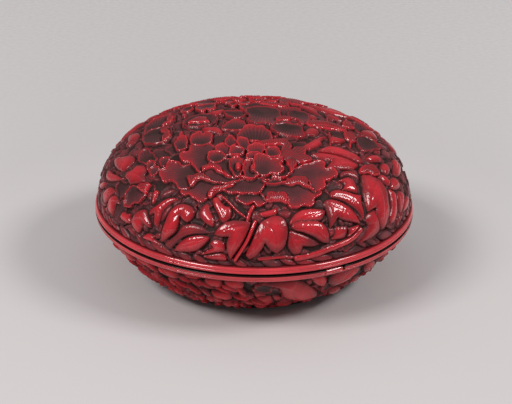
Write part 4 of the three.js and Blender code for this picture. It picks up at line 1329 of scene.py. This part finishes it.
@dataclass
class LidCarving(CarvedCoat):
    """The carved coat of the lid: a dome cut with peonies and leaves."""

    grid: int = 601
    side_squareness: float = 2.57
    crown_squareness: float = 2.33
    channel_width: float = 5.0 * MM
    channel_height: float = 0.5
    channel_tone: float = 0.3
    edge_share: float = 0.965
    low_tone: float = 0.5
    inner_rings: int = 14
    halved_rings: int = 4
    edge_seed: int = 8
    growth_seed: int = 7
    knife_seed: int = 11
    hidden_middle: float = 0.07
    hidden_half: float = 0.06

    def __post_init__(self) -> None:
        """Takes the dome's sizes from the construction."""
        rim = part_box("lid_moulding")[1]
        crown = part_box("lid_lining")[1].z + self.lining_depth
        self.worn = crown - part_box("lid_carved_coat")[1].z
        self.measure(Curve(0.0, rim.x, rim.z + self.bond, crown, self.side_squareness, self.crown_squareness))

    def plan(self) -> tuple[Array, Array]:
        """The plan's points: a square grid drawn out to a round one, from -1 to 1.

        Returns:
            Where the points are across and along, as grids.
        """
        side = np.linspace(-1, 1, self.grid)
        across, along = np.meshgrid(side, side)
        wide = np.abs(across) > np.abs(along)
        radius = np.where(wide, across, along)
        ratio = np.where(wide, along, across) / np.where(radius == 0, 1, radius)
        turn = np.where(wide, ratio * math.pi / 4, math.pi / 2 - ratio * math.pi / 4)
        return radius * np.cos(turn), radius * np.sin(turn)

    def carve(self) -> Relief:
        """Carves the whole lid on its plan.

        Returns:
            The relief.
        """
        unit = self.reach / MM
        x, y = self.plan()
        relief = Relief(x * unit, y * unit)
        gone = np.hypot(relief.x, relief.y) * MM
        edge = smooth_step(gone, self.reach - self.channel_width, self.reach)
        relief.height = self.channel_height * edge
        relief.tone = self.channel_tone * edge
        front = Place(size=unit / 100)
        back = Place(size=unit / 100, turn=math.pi, mirrored=True)
        self.carve_undergrowth(relief, unit)
        for place in (back, front):
            for motif in LEAF_SHARES + BACK_PETAL_SHARES + PEONY_SHARES:
                motif.carve(relief, place)
        return relief

    def carve_undergrowth(self, relief: Relief, unit: float) -> None:
        """Fills the plan with low leaves and petals, which show between the main ones.

        Args:
            relief: The relief to carve.
            unit: The plan's radius, in millimetres.
        """
        chance = np.random.default_rng(self.edge_seed)
        for layer, level in enumerate((0.55, 0.65)):
            count = round(TURN * unit / (9.0 - 2 * layer))
            for number in range(count):
                angle = TURN * (number + chance.uniform(-0.3, 0.3)) / count
                at = (self.edge_share + chance.uniform(-0.025, 0.008)) * unit
                lean = angle + chance.choice((-1, 1)) * chance.uniform(0.05, 0.5)
                place = Place(at * math.cos(angle), at * math.sin(angle), chance.uniform(13, 19) / 100, lean)
                tone = chance.uniform(0.45, 0.75)
                replace(BLADE_LEAF_SHARES, low=level - 0.2, high=level, tone=tone).carve(relief, place)
        chance = np.random.default_rng(self.growth_seed)
        for layer, level in enumerate((0.3, 0.42, 0.55)):
            for row, share in enumerate(np.arange(0.87, 0.05, -0.09)):
                count = max(4, round(TURN * share * unit / 10))
                for number in range(count):
                    angle = TURN * (number + chance.uniform(-0.4, 0.4)) / count + row + layer
                    at = (share + chance.uniform(-0.04, 0.02)) * unit
                    motif = SPEAR_LEAF_SHARES if chance.random() < 0.65 else FAN_PETAL_SHARES
                    place = Place(at * math.cos(angle), at * math.sin(angle), chance.uniform(8, 12) / 100,
                                  angle + chance.uniform(-2.6, 2.6), bool(chance.integers(2)))
                    high = level + chance.uniform(-0.06, 0.06)
                    replace(motif, low=high - 0.25, high=high, tone=self.low_tone).carve(relief, place)

    def border(self) -> Array:
        """The numbers of the grid's outermost vertices, once round."""
        number = np.arange(self.grid**2).reshape(self.grid, self.grid)
        return np.concatenate([number[0, :-1], number[:-1, -1], number[-1, :0:-1], number[:0:-1, 0]])

    def build(self) -> Piece:
        """Builds the coat as one closed solid.

        Returns:
            The piece.
        """
        relief = self.carve()
        x, y = relief.x * MM, relief.y * MM
        gone = np.hypot(x, y)
        height, cavity = self.finish_relief(relief, self.knife_seed)
        radius, z = self.below(self.reach - gone, self.worn + (1 - height) * self.carving)
        radius = np.clip(radius, 0, None)
        safe = np.where(gone == 0, 1, gone)
        outer = np.stack([radius * x / safe, radius * y / safe, z], 1)
        border = self.border()
        outer[border, 2] = self.curve.foot
        number = np.arange(self.grid**2).reshape(self.grid, self.grid)
        faces = list(zip(number[:-1, :-1].ravel().tolist(), number[:-1, 1:].ravel().tolist(),
                         number[1:, 1:].ravel().tolist(), number[1:, :-1].ravel().tolist()))
        inner, inner_faces = self.inside(border, len(outer))
        shown = np.stack([x, y], 1) / self.reach * self.map_half + self.map_middle
        hidden = inner[:, :2] / self.curve.outer * self.hidden_half + self.hidden_middle
        return self.close("lid_carving", (outer, inner), faces + inner_faces, (relief.tone, cavity),
                          (shown, hidden))

    def inside(self, border: Array, start: int) -> tuple[Array, list[tuple[int, ...]]]:
        """The smooth inside of the coat, from its border to the axis.

        Args:
            border: The numbers of the outside's outermost vertices.
            start: The number that the first new vertex gets.

        Returns:
            The new vertices, and the faces that they close the coat with.
        """
        curve = self.curve.points(self.coat, self.inner_rings)
        vertices, faces = [], []
        above, count, place = border, len(border), start
        for number, (radius, z) in enumerate(curve[:-1]):
            if 0 < number <= self.halved_rings:
                count //= 2
            vertices.append(ring(radius, z, count, -3 * math.pi / 4))
            here = np.arange(place, place + count)
            faces += ring_faces(above, here)
            above, place = here, place + count
        vertices.append(np.array([[0.0, 0.0, curve[-1, 1]]]))
        faces += [(int(a), int(b), place) for a, b in zip(above, np.roll(above, -1))]
        return np.vstack(vertices), [face[::-1] for face in faces]


# The leaves round the bowl, which repeat three times: their height, then the outlines, across in
# degrees from the front and down in hundredths of the way to the foot.
BOWL_LEAF_SHARES = (
    (0.75, (
        (19+2j, 24+5j, 28+22j, 27+34j, 23+22j),
        (1+46j, 7+42j, 9+58j, 7+80j, 1+74j),
        (11+68j, 17+69j, 20+84j, 15+90j, 11+82j),
        (24+70j, 29+72j, 32+88j, 28+92j, 24+82j),
        (-50+57j, -44+58j, -46+76j, -52+78j, -54+66j),
        (46+44j, 50+48j, 55+58j, 53+66j, 48+60j),
        (55+8j, 59+12j, 62+30j, 60+40j, 57+28j),
        (-24+4j, -19+2j, -18+14j, -20+24j, -25+18j),
        (-45+4j, -37+2j, -36+12j, -40+23j, -46+16j),
        (-30+25j, -26+30j, -29+46j, -34+42j, -34+30j),
        (-52+30j, -47+32j, -49+50j, -55+52j, -55+40j),
        (-20+56j, -15+53j, -13+66j, -17+79j, -21+70j),
    )),
    (0.95, (
        (2+9j, 15+6j, 21+24j, 28+57j, 20+65j, 13+48j, 9+20j),
        (30+4j, 37+3j, 41+12j, 40+28j, 35+41j, 31+34j, 28+18j),
        (43+4j, 48+10j, 53+26j, 54+38j, 49+34j, 45+20j),
        (33+46j, 38+50j, 44+68j, 45+80j, 40+76j, 35+62j),
        (-9+4j, -4+2j, -3+14j, -5+27j, -8+31j, -10+16j),
        (-16+5j, -11+4j, -10+18j, -13+28j, -17+18j),
        (-34+2j, -27+4j, -26+14j, -30+22j, -35+12j),
        (-57+4j, -48+6j, -48+18j, -53+27j, -58+14j),
        (-42+26j, -37+27j, -37+44j, -42+55j, -44+40j),
        (-16+34j, -9+32j, -8+46j, -12+54j, -15+48j),
        (-5+34j, -1+30j, 0+44j, -3+55j, -6+44j),
        (-40+58j, -33+50j, -30+62j, -36+80j, -42+76j),
        (-29+52j, -24+55j, -23+68j, -28+84j, -31+68j),
        (-11+58j, -5+62j, -6+76j, -11+84j, -14+70j),
    )),
)

# The bowl's undergrowth: how far down it lies, its spacing and its size in millimetres, and its height
BOWL_GROWTH_SHARES = ((0.5, 7.0, 9.0, 0.4), (0.9, 6.0, 8.0, 0.45), (0.15, 7.0, 9.0, 0.5),
                      (0.72, 6.0, 9.0, 0.55), (0.34, 7.0, 9.0, 0.6), (0.55, 7.0, 8.0, 0.6),
                      (0.93, 5.0, 7.0, 0.7))

# The rows of its small leaning leaves: how far down they lie, in hundredths, and their height
BOWL_CURL_SHARES = ((88, 0.8), (70, 0.85), (50, 0.9), (30, 0.9), (12, 0.95))


@dataclass
class BowlCarving(CarvedCoat):
    """The carved coat of the bowl: a band of small leaves and petals, down to the foot."""

    columns: int = 1440
    rows: int = 132
    side_squareness: float = 1.69
    floor_squareness: float = 0.97
    inner_rings: int = 10
    repeats: int = 3
    growth_seed: int = 21
    curl_seed: int = 70
    knife_seed: int = 31
    hidden_half: float = 0.22

    def __post_init__(self) -> None:
        """Takes the bowl's sizes from the construction."""
        low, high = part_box("bowl_moulding")
        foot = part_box("foot_ring")[1].x + self.bond
        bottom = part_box("bowl_core")[0].z - self.core_depth
        self.measure(Curve(foot, high.x, low.z - self.bond, bottom, self.side_squareness,
                           self.floor_squareness))

    def carve(self) -> Relief:
        """Carves the band on its plan: round the box across, down from the shoulder along.

        Returns:
            The relief.
        """
        girth = TURN * self.curve.outer / MM
        across = np.arange(self.columns) / self.columns * girth
        along = np.linspace(0, self.reach / MM, self.rows)
        x, y = np.meshgrid(across, -along)
        relief = Relief(x, y, girth)
        self.carve_undergrowth(relief, girth)
        for repeat in range(self.repeats):
            place = Place(x=repeat * girth / self.repeats)
            for height, outlines in BOWL_LEAF_SHARES:
                for outline in outlines:
                    self.band_leaf(height, outline).carve(relief, place)
            self.carve_curls(relief, place.x, repeat)
        return relief

    def on_plan(self, point: complex) -> complex:
        """A point of the plan, in millimetres, from degrees round and hundredths down."""
        return complex(math.radians(point.real) * self.curve.outer, -point.imag / 100 * self.reach) / MM

    def band_leaf(self, height: float, outline: Path) -> Leaf:
        """One of the band's main leaves, with its middle vein.

        Args:
            height: The height of its middle, where 1 is the outside of the coat.
            outline: Its outline, in degrees round and hundredths down.

        Returns:
            The leaf.
        """
        foot, tip = min(outline, key=lambda point: point.imag), max(outline, key=lambda point: point.imag)
        points = tuple(self.on_plan(point) for point in outline)
        spine = tuple(self.on_plan(point) for point in (foot, complex(np.mean(outline)), tip))
        ends = (outline.index(foot), outline.index(tip))
        return Leaf(points, ends, height - 0.6, height, 0.95, veins=(spine,))

    def carve_undergrowth(self, relief: Relief, girth: float) -> None:
        """Fills the band with low leaves and petals, which show between the main ones.

        Args:
            relief: The relief to carve.
            girth: How far it is round the plan, in millimetres.
        """
        chance = np.random.default_rng(self.growth_seed)
        kinds = (SPEAR_LEAF_SHARES, LOBED_LEAF_SHARES, FAN_PETAL_SHARES)
        for down, spacing, size, level in BOWL_GROWTH_SHARES:
            count = round(girth / spacing)
            for number in chance.permutation(count):
                motif = kinds[int(chance.choice(3, p=(0.5, 0.2, 0.3)))]
                place = Place((number + chance.uniform(-0.35, 0.35)) * girth / count,
                              -(down + chance.uniform(-0.07, 0.07)) * self.reach / MM,
                              size * chance.uniform(0.75, 1.1) / 100, chance.uniform(0, TURN),
                              bool(chance.integers(2)))
                tone = chance.uniform(0.45, 0.75)
                replace(motif, low=level - 0.35, high=level, tone=tone).carve(relief, place)

    def carve_curls(self, relief: Relief, start: float, seed: int) -> None:
        """Carves the dense part of the band: small leaning leaves, and beads along its foot.

        Args:
            relief: The relief to carve.
            start: Where this part's front lies across the plan, in millimetres.
            seed: What the repeats' small differences are drawn from.
        """
        chance = np.random.default_rng(self.curl_seed + seed)
        for down, level in BOWL_CURL_SHARES:
            for degrees in np.arange(-60, 0, 4.6):
                if chance.random() < 0.8:
                    at = self.on_plan(complex(degrees + chance.uniform(-2, 2), down + chance.uniform(-6, 6)))
                    lean = math.radians(chance.uniform(200, 250))
                    motif, stretch = ((BLADE_LEAF_SHARES, 1.2) if chance.random() < 0.6
                                      else (SPEAR_LEAF_SHARES, 0.9))
                    size = chance.uniform(6.0, 8.5) * stretch / 100
                    place = Place(start + at.real, at.imag, size, lean)
                    high, tone = level + chance.uniform(0, 0.1), chance.uniform(0.6, 0.95)
                    replace(motif, low=level - 0.4, high=high, tone=tone).carve(relief, place)
        for degrees in np.arange(-60, 0, 3.5):
            at = self.on_plan(complex(degrees + chance.uniform(-1.5, 1.5), chance.uniform(40, 90)))
            bead = replace(BEAD_SHARES, low=0.55, high=0.9)
            bead.carve(relief, Place(start + at.real, at.imag, chance.uniform(1.1, 1.6) / 100))

    def build(self) -> Piece:
        """Builds the coat as one closed solid.

        Returns:
            The piece.
        """
        relief = self.carve()
        height, cavity = self.finish_relief(relief, self.knife_seed)
        turn = relief.x * MM / self.curve.outer - math.pi / 2
        passed = -relief.y * MM
        radius, z = self.below(passed, (1 - height) * self.carving)
        radius, z = np.maximum(radius, self.curve.inner), np.minimum(z, self.curve.foot)
        outer = np.stack([radius * np.cos(turn), radius * np.sin(turn), z], 1)
        number = np.arange(self.columns * self.rows).reshape(self.rows, self.columns)
        faces = [face[::-1] for face in band_faces(number)]
        curve = self.curve.points(self.coat, self.inner_rings, self.curve.top + self.coat)
        inner = np.vstack([ring(*point, self.columns, -math.pi / 2) for point in curve])
        rings = number.size + np.arange(len(inner)).reshape(len(curve), self.columns)
        faces += band_faces([number[0], *rings, number[-1]])
        widest = self.curve.inner + self.reach
        out = (widest - passed) / widest
        shown = np.stack([out * np.cos(turn), out * np.sin(turn)], 1) * self.map_half + self.map_middle
        hidden = inner[:, :2] / self.curve.outer * self.hidden_half + self.map_middle
        return self.close("bowl_carving", (outer, inner), faces, (relief.tone, cavity), (shown, hidden))


@dataclass(frozen=True)
class Crack:
    """A crack across a moulding: where, in degrees from the front, how wide and deep, in millimetres."""

    azimuth: float
    width: float
    depth: float
    reach: float = 1.0


LID_CRACKS = (Crack(-26.7, 0.35, 0.12), Crack(58.0, 0.3, 0.1), Crack(141.0, 0.35, 0.12),
              Crack(-110.0, 0.3, 0.1))
BOWL_CRACKS = (Crack(24.2, 0.4, 0.2), Crack(31.1, 1.5, 0.8, 0.55), Crack(-71.0, 0.3, 0.1),
               Crack(163.0, 0.4, 0.2))

# Where the edge of the bowl's moulding is worn, in degrees from the front
BOWL_WORN_EDGES = ((24.2, 30.6),)


@dataclass
class Moulding:
    """A smooth band of red lacquer round a mouth, a little uneven, with fine cracks across it.

    Its face is set back behind a bead, and the flat faces at the mouth and at the coat are painted dark, as
    shade in the gap between the halves and where the band meets the coat.
    """

    node: str
    name: str
    seed: int
    cracks: tuple[Crack, ...]
    mouth_on_top: bool
    worn_edges: tuple[tuple[float, float], ...] = ()
    worn_height: float = 1.4 * MM
    worn_depth: float = 1.05 * MM
    worn_from: float = 0.02 * MM
    worn_whole: float = 0.12 * MM
    thickness: float = 3.4 * MM
    corner: float = 1.3 * MM
    bead: float = 0.75 * MM
    bead_turn: float = math.pi * 0.79
    bead_step: float = 0.2 * MM
    hollow: float = 0.03 * MM
    hollow_height: float = 0.3 * MM
    swell: float = 0.02 * MM
    set_back: float = 0.22 * MM
    uneven: float = 0.112 * MM
    wander: float = 0.15 * MM
    crack_drop: float = 0.6
    face_share: float = 0.6
    # Where the painted shade of the gap between the halves fades out, measured from the mouth
    mouth_painted_shade: tuple[float, float] = (0.42 * MM, 0.58 * MM)
    # The shelf at the coat, painted dark as shade: where its painted shade fades out, how high it starts, and
    # how dark it is
    shelf: tuple[float, float] = (0.72, 0.8)
    shelf_height: float = 0.9
    shelf_painted_shade: float = 0.8
    columns: int = 1440

    def section(self, outer: float, low: float, high: float) -> Array:
        """The band's outline, once round, from the inside of its foot.

        Args:
            outer: The radius outside.
            low: The height of its foot.
            high: The height of its top.

        Returns:
            Radius and height of each point.
        """
        inner, round_ = outer - self.thickness, self.corner
        face, bead = outer - self.set_back, self.bead
        flat = [inner + (face - round_ - inner) * share for share in (0, 0.25, 0.5, 0.75, 0.93)]
        points = [(radius, 0.0) for radius in flat]
        points += [(outer - bead + bead * math.sin(turn), bead - bead * math.cos(turn))
                   for turn in np.linspace(0, self.bead_turn, 15)]
        start = points[-1][1] + self.bead_step
        end = high - low - round_
        points += [(face - self.hollow, start), (face, start + self.hollow_height),
                   (face + self.swell, (start + end) / 2)]
        points += [(face - round_ + round_ * math.cos(turn), end + round_ * math.sin(turn))
                   for turn in np.linspace(0, math.pi / 2, 7)]
        points += [(radius, high - low) for radius in reversed(flat)]
        if self.mouth_on_top:
            return np.asarray([(radius, high - up) for radius, up in reversed(points)])
        return np.asarray([(radius, low + up) for radius, up in points])

    def sunk(self, turn: Array) -> Array:
        """How far the face lies in from its true circle at each angle, in metres.

        Args:
            turn: The angles.

        Returns:
            The distance at each of them.
        """
        chance = np.random.default_rng(self.seed)
        sink = np.zeros(len(turn))
        for wave in range(3, 30):
            sink += np.sin(wave * turn + chance.uniform(0, TURN)) / wave**0.6
        return (sink - sink.min()) / (sink.max() - sink.min()) * self.uneven

    def worn(self, turn: Array) -> Array:
        """How much the edge is worn at each angle, from 0 to 1.

        Args:
            turn: The angles.

        Returns:
            The wear at each of them.
        """
        worn = np.zeros(len(turn))
        for start, end in self.worn_edges:
            away = (turn - math.radians((start + end) / 2) + math.pi / 2 + math.pi) % TURN - math.pi
            away = np.degrees(np.abs(away)) / ((end - start) / 2)
            worn = np.maximum(worn, 1 - smooth_step(away, 0.86, 1.0))
        return worn

    def cracked(self, turn: Array, upward: Array, outer: float) -> tuple[Array, Array]:
        """The cracks over the whole band.

        Args:
            turn: The angle of each column.
            upward: How far up the band each row is, from 0 to 1.
            outer: The radius outside.

        Returns:
            How deep in a crack each vertex lies, in metres, and how dark it is there.
        """
        cut = np.zeros((len(upward), len(turn)))
        dark = np.zeros_like(cut)
        for crack in self.cracks:
            wander = self.wander * np.sin(9 * upward + crack.azimuth)
            away = (turn[None, :] - math.radians(crack.azimuth) - math.pi * 1.5 + math.pi) % TURN - math.pi
            away = np.abs(away * outer + wander[:, None]) / (crack.width * MM / 2)
            top = 1 - crack.reach
            held = smooth_step(upward, top - 0.15, top) if top > 0 else np.ones_like(upward)
            inside = (1 - smooth_step(away, 0.4, 1.0)) * held[:, None]
            cut = np.maximum(cut, inside * crack.depth * MM)
            dark = np.maximum(dark, inside)
        return cut, dark

    def build(self) -> Piece:
        """Builds the band.

        Returns:
            The piece.
        """
        low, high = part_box(self.node)
        height = high.z - low.z
        section = self.section(high.x, low.z, high.z)
        turn = TURN * np.arange(self.columns) / self.columns
        out_share = np.clip((section[:, 0] - (high.x - self.thickness)) / self.thickness, 0, 1)
        upward = (section[:, 1] - low.z) / height
        from_mouth = (1 - upward if self.mouth_on_top else upward) * height
        worn = self.worn(turn)[None, :]
        bare = smooth_step(from_mouth, self.worn_from, self.worn_whole)[:, None] * worn
        # Painted shade: the faces at the mouth, in the gap between the halves, and the shelf at the coat are
        # darkened, except where the edge is worn bare
        mouth = 1 - smooth_step(from_mouth, *self.mouth_painted_shade)
        shelf = (from_mouth > self.shelf_height * height) * (1 - smooth_step(out_share, *self.shelf))
        cut, dark = self.cracked(turn, upward, high.x)
        dark = np.maximum(dark, np.maximum(mouth, shelf * self.shelf_painted_shade)[:, None] * (1 - bare))
        bevel = np.clip(1 - from_mouth / self.worn_height, 0, 1)[:, None] * worn * self.worn_depth
        face = (out_share > self.face_share)[:, None]
        across, up = section[:, 0][:, None], section[:, 1][:, None]
        radius = across - self.sunk(turn)[None, :] * out_share[:, None] - cut * face - bevel * face
        drop = np.where(up > (low.z + high.z) / 2, -cut * self.crack_drop, 0)
        z = np.clip(up + drop, low.z, high.z)
        place = np.stack([radius * np.cos(turn), radius * np.sin(turn), z], -1).reshape(-1, 3)
        number = np.arange(len(section) * self.columns).reshape(len(section), self.columns)
        piece = make_mesh(self.name, place, band_faces([*number, number[0]]))
        # The crack value holds the dark of the cracks and the painted shade of the mouth and the shelf
        give_values(piece, "crack", dark.ravel())
        return piece


def round_corners(outline: Array, radius: float, closed: bool, steps: int = 4) -> Array:
    """Rounds the sharp corners of a turned outline.

    Args:
        outline: Radius and height of each point.
        radius: How far from a corner its rounding starts.
        closed: Whether the outline comes back to its first point.
        steps: Straight lengths round each corner.

    Returns:
        The outline with its corners rounded.
    """
    count = len(outline)
    points = []
    for number, here in enumerate(outline):
        before, after = outline[number - 1], outline[(number + 1) % count]
        back, ahead = before - here, after - here
        back_length, ahead_length = np.linalg.norm(back), np.linalg.norm(ahead)
        straight = -(back @ ahead) / (back_length * ahead_length)
        if (not closed and number in (0, count - 1)) or straight > 0.9:
            points.append(here)
            continue
        start = here + back / back_length * min(radius, back_length * 0.4)
        end = here + ahead / ahead_length * min(radius, ahead_length * 0.4)
        points.append(start + (start - here) * 0.3)
        for t in np.linspace(0, 1, steps + 1):
            points.append((1 - t) ** 2 * start + 2 * t * (1 - t) * here + t**2 * end)
        points.append(end + (end - here) * 0.3)
    return np.asarray(points)


@dataclass
class Turned:
    """A piece turned from one outline, which runs round it or from the axis to the axis."""

    name: str
    outline: Array
    corner: float
    columns: int = 288

    def build(self) -> Piece:
        """Builds the piece.

        Returns:
            The piece.
        """
        on_axis = self.outline[0, 0] == 0
        outline = round_corners(self.outline, self.corner, not on_axis)
        vertices, rings, start = [], [], 0
        for radius, z in outline:
            count = 1 if radius == 0 else self.columns
            vertices.append(ring(radius, z, count))
            rings.append(np.arange(start, start + count))
            start += count
        faces = []
        pairs = list(zip(rings, rings[1:] + rings[:1]))
        for here, there in pairs if not on_axis else pairs[:-1]:
            if len(here) == 1:
                faces += [(int(here[0]), int(b), int(a)) for a, b in zip(there, np.roll(there, -1))]
            elif len(there) == 1:
                faces += [(int(a), int(b), int(there[0])) for a, b in zip(here, np.roll(here, -1))]
            else:
                faces += ring_faces(here, there)
        return make_mesh(self.name, np.vstack(vertices), faces)


@dataclass
class BlackPieces:
    """The black linings, the collar, the foot and the coat inside it."""

    lining: float = 0.6 * MM
    cavity: float = 8.3 * MM
    edge: float = 0.22 * MM
    collar_thickness: float = 1.8 * MM
    collar_lead: float = 0.7 * MM
    collar_corner: float = 0.3 * MM
    foot_thickness: float = 4.2 * MM
    foot_corner: float = 0.7 * MM
    steps: int = 48

    def lid_lining(self, curve: Curve) -> Turned:
        """The lining of the lid, which turns outwards over its mouth.

        Args:
            curve: The outside of the lid.

        Returns:
            The piece.
        """
        low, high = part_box("lid_lining")
        inside = curve.points(self.cavity, self.steps)[::-1]
        outside = curve.points(self.cavity - self.lining, self.steps)
        mouth = [(curve.outer - self.cavity, low.z), (high.x, low.z), (high.x, low.z + self.lining),
                 (curve.outer - self.cavity + self.lining, low.z + self.lining)]
        return Turned("lid_inside", np.vstack([inside, mouth, outside]), self.edge)

    def bowl_lining(self, curve: Curve) -> Turned:
        """The lining of the bowl, with its flat floor.

        Args:
            curve: The outside of the bowl.

        Returns:
            The piece.
        """
        low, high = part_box("bowl_lining")
        floor = low.z + self.lining
        outside = curve.points(self.cavity - self.lining, self.steps, low.z)[::-1]
        inside = curve.points(self.cavity, self.steps, floor)
        mouth = [(curve.outer - self.cavity + self.lining, high.z - self.lining),
                 (high.x, high.z - self.lining), (high.x, high.z), (curve.outer - self.cavity, high.z)]
        outline = np.vstack([[(0, low.z)], outside, mouth, inside, [(0, floor)]])
        return Turned("bowl_inside", outline, self.edge)

    def collar(self) -> Turned:
        """The upright ring that keeps the lid in place.

        Returns:
            The piece.
        """
        low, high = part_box("collar")
        inner, lead = high.x - self.collar_thickness, self.collar_lead
        outline = np.array([(inner, low.z), (high.x, low.z), (high.x, high.z - lead), (high.x - lead, high.z),
                            (inner, high.z)])
        return Turned("collar_ring", outline, self.collar_corner)

    def foot(self) -> Turned:
        """The ring that the box stands on.

        Returns:
            The piece.
        """
        low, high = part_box("foot_ring")
        inner = high.x - self.foot_thickness
        outline = np.array([(inner, low.z), (high.x, low.z), (high.x, high.z), (inner, high.z)])
        return Turned("foot_turned", outline, self.foot_corner)

    def underside(self) -> Turned:
        """The flat coat inside the foot.

        Returns:
            The piece.
        """
        low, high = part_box("underside_coat")
        outline = np.array([(0, low.z), (high.x, low.z), (high.x, high.z), (0, high.z)])
        return Turned("underside_black", outline, self.edge)


@dataclass
class Camera:
    """The photograph's camera, fitted to the rims and the outline of the box."""

    distance_in_radii: float = 7.0
    elevation: float = 24.85
    pitch: float = 24.94
    yaw: float = 0.10
    roll: float = 1.04
    focal_pixels: float = 1103.65

    def build(self, radius: float, seam: float) -> None:
        """Makes the camera.

        Args:
            radius: The radius of the box at its widest, in metres.
            seam: The height of the line between its halves.
        """
        data = bpy.data.cameras.new("view")
        data.sensor_fit = "HORIZONTAL"
        data.lens = self.focal_pixels * data.sensor_width / PHOTO_WIDTH
        data.clip_start, data.clip_end = 0.05, 20
        camera = bpy.data.objects.new("view", data)
        away = self.distance_in_radii * radius
        lift, tilt, turn, lean = (math.radians(a) for a in (self.elevation, self.pitch, self.yaw, self.roll))
        ahead = Vector((math.sin(turn) * math.cos(tilt), math.cos(turn) * math.cos(tilt), -math.sin(tilt)))
        right = ahead.cross(Vector((0, 0, 1))).normalized()
        up = right.cross(ahead)
        across = right * math.cos(lean) + up * math.sin(lean)
        upright = up * math.cos(lean) - right * math.sin(lean)
        turned = Matrix((across, upright, -ahead)).transposed().to_4x4()
        turned.translation = Vector((0, -away * math.cos(lift), seam + away * math.sin(lift)))
        camera.matrix_world = turned
        bpy.context.scene.collection.objects.link(camera)
        bpy.context.scene.camera = camera


@dataclass
class Studio:
    """A pale floor under soft light."""

    floor_near: Colour = (0.595, 0.562, 0.562)
    floor_far: Colour = (0.98, 0.94, 0.94)
    floor_half: float = 6.0
    sky: float = 0.23
    sky_colour: Colour = (0.98, 0.97, 0.97)
    aim: tuple[float, float, float] = (0, 0, 0.04)

    def build(self) -> None:
        """Makes the floor, the surroundings and the lamps."""
        scene = bpy.context.scene
        scene.view_settings.view_transform = "Standard"
        corners = np.array([(-1, -1, 0), (1, -1, 0), (1, 1, 0), (-1, 1, 0)]) * self.floor_half
        floor = make_mesh("floor", corners, [(0, 1, 2, 3)])
        nodes = Nodes("paper")
        away = nodes.add("ShaderNodeVectorMath", operation="LENGTH")
        nodes.link(nodes.place, away.inputs[0])
        # Painted light: the floor is painted lighter away from the box, making up for the lamps' light
        # falling off with distance
        share = nodes.spread(away.outputs["Value"], 0, 1, 0.18, 0.8)
        paper = nodes.mix(share, self.floor_near, self.floor_far)
        tint = nodes.spread(nodes.noise(260, 2), 0, 0.35, 0.3, 0.7)
        nodes.drive("Base Color", nodes.mix(tint, paper, self.floor_near))
        nodes.drive("Roughness", 0.9)
        nodes.drive("Specular IOR Level", 0.1)
        floor.data.materials.append(nodes.material)
        world = bpy.data.worlds.new("surroundings")
        world.use_nodes = True
        back = world.node_tree.nodes["Background"]
        back.inputs["Color"].default_value = (*self.sky_colour, 1)
        back.inputs["Strength"].default_value = self.sky
        scene.world = world
        self.lamp("overhead", (0.0, 0.0, 1.6), (2.4, 2.4), 4.0)
        self.lamp("left", (-0.65, -0.55, 0.9), (0.54, 0.3), 8.9)
        self.lamp("right", (0.8, -0.3, 0.9), (0.46, 0.25), 6.9)

    def lamp(self, name: str, place: tuple[float, float, float], size: tuple[float, float],
             power: float) -> None:
        """Makes one soft lamp that faces the box.

        Args:
            name: What it is called.
            place: Where it stands, in metres.
            size: How wide and how long its face is.
            power: Its power, in watts.
        """
        data = bpy.data.lights.new(name, "AREA")
        data.shape = "RECTANGLE"
        data.size, data.size_y = size
        data.energy = power
        lamp = bpy.data.objects.new(name, data)
        lamp.location = place
        ahead = Vector(self.aim) - Vector(place)
        lamp.rotation_euler = ahead.to_track_quat("-Z", "Y").to_euler()
        bpy.context.scene.collection.objects.link(lamp)


def main() -> None:
    """Builds the covered box, its light and its camera."""
    logging.basicConfig(level=logging.INFO, format="%(name)s: %(message)s")
    carved = CarvedLacquer().build()
    # Painted light: the bowl gets a brighter red copy of the carved lacquer, less glossy, making up for its
    # carving facing down, away from the lamps
    carved_painted_lighter = CarvedLacquer(name="carved_red_lacquer_painted_lighter_for_the_bowl", gloss=0.27, red=(0.36, 0.008, 0.014),
                               bright=(0.62, 0.011, 0.022)).build()
    smooth = SmoothLacquer().build()
    black = BlackLacquer().build()
    wood = TurnedWood().build()
    ground = ClothAndClay().build()
    lid_carving, bowl_carving = LidCarving(), BowlCarving()
    lid = dress(lid_carving.build(), carved, Body.LID, Slot.CARVED, "lid_carved_coat")
    log.info("carved the lid: %d vertices", len(lid.data.vertices))
    bowl = dress(bowl_carving.build(), carved_painted_lighter, Body.BOWL, Slot.CARVED, "bowl_carved_coat")
    log.info("carved the bowl: %d vertices", len(bowl.data.vertices))
    for moulding, body in (
            (Moulding("lid_moulding", "lid_band", 3, LID_CRACKS, False), Body.LID),
            (Moulding("bowl_moulding", "bowl_band", 5, BOWL_CRACKS, True, BOWL_WORN_EDGES), Body.BOWL)):
        band = dress(moulding.build(), smooth, body, Slot.SMOOTH, moulding.node)
        log.info("turned %s", band.name)
    pieces = BlackPieces()
    for turned, body, node in (
            (pieces.lid_lining(lid_carving.curve), Body.LID, "lid_lining"),
            (pieces.bowl_lining(bowl_carving.curve), Body.BOWL, "bowl_lining"),
            (pieces.collar(), Body.BOWL, "collar"), (pieces.foot(), Body.BOWL, "foot_ring"),
            (pieces.underside(), Body.BOWL, "underside_coat")):
        piece = dress(turned.build(), black, body, Slot.BLACK, node)
        log.info("turned %s", piece.name)
    for node, material in (("lid_core", wood), ("bowl_core", wood), ("lid_cloth_ground", ground),
                           ("bowl_cloth_ground", ground)):
        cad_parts[node].data.materials.clear()
        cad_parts[node].data.materials.append(material)
        log.info("finished %s", node)
    seam = (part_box("lid_moulding")[0].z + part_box("bowl_moulding")[1].z) / 2
    Camera().build(lid_carving.curve.outer, seam)
    Studio().build()


if __name__ == "__main__":
    main()
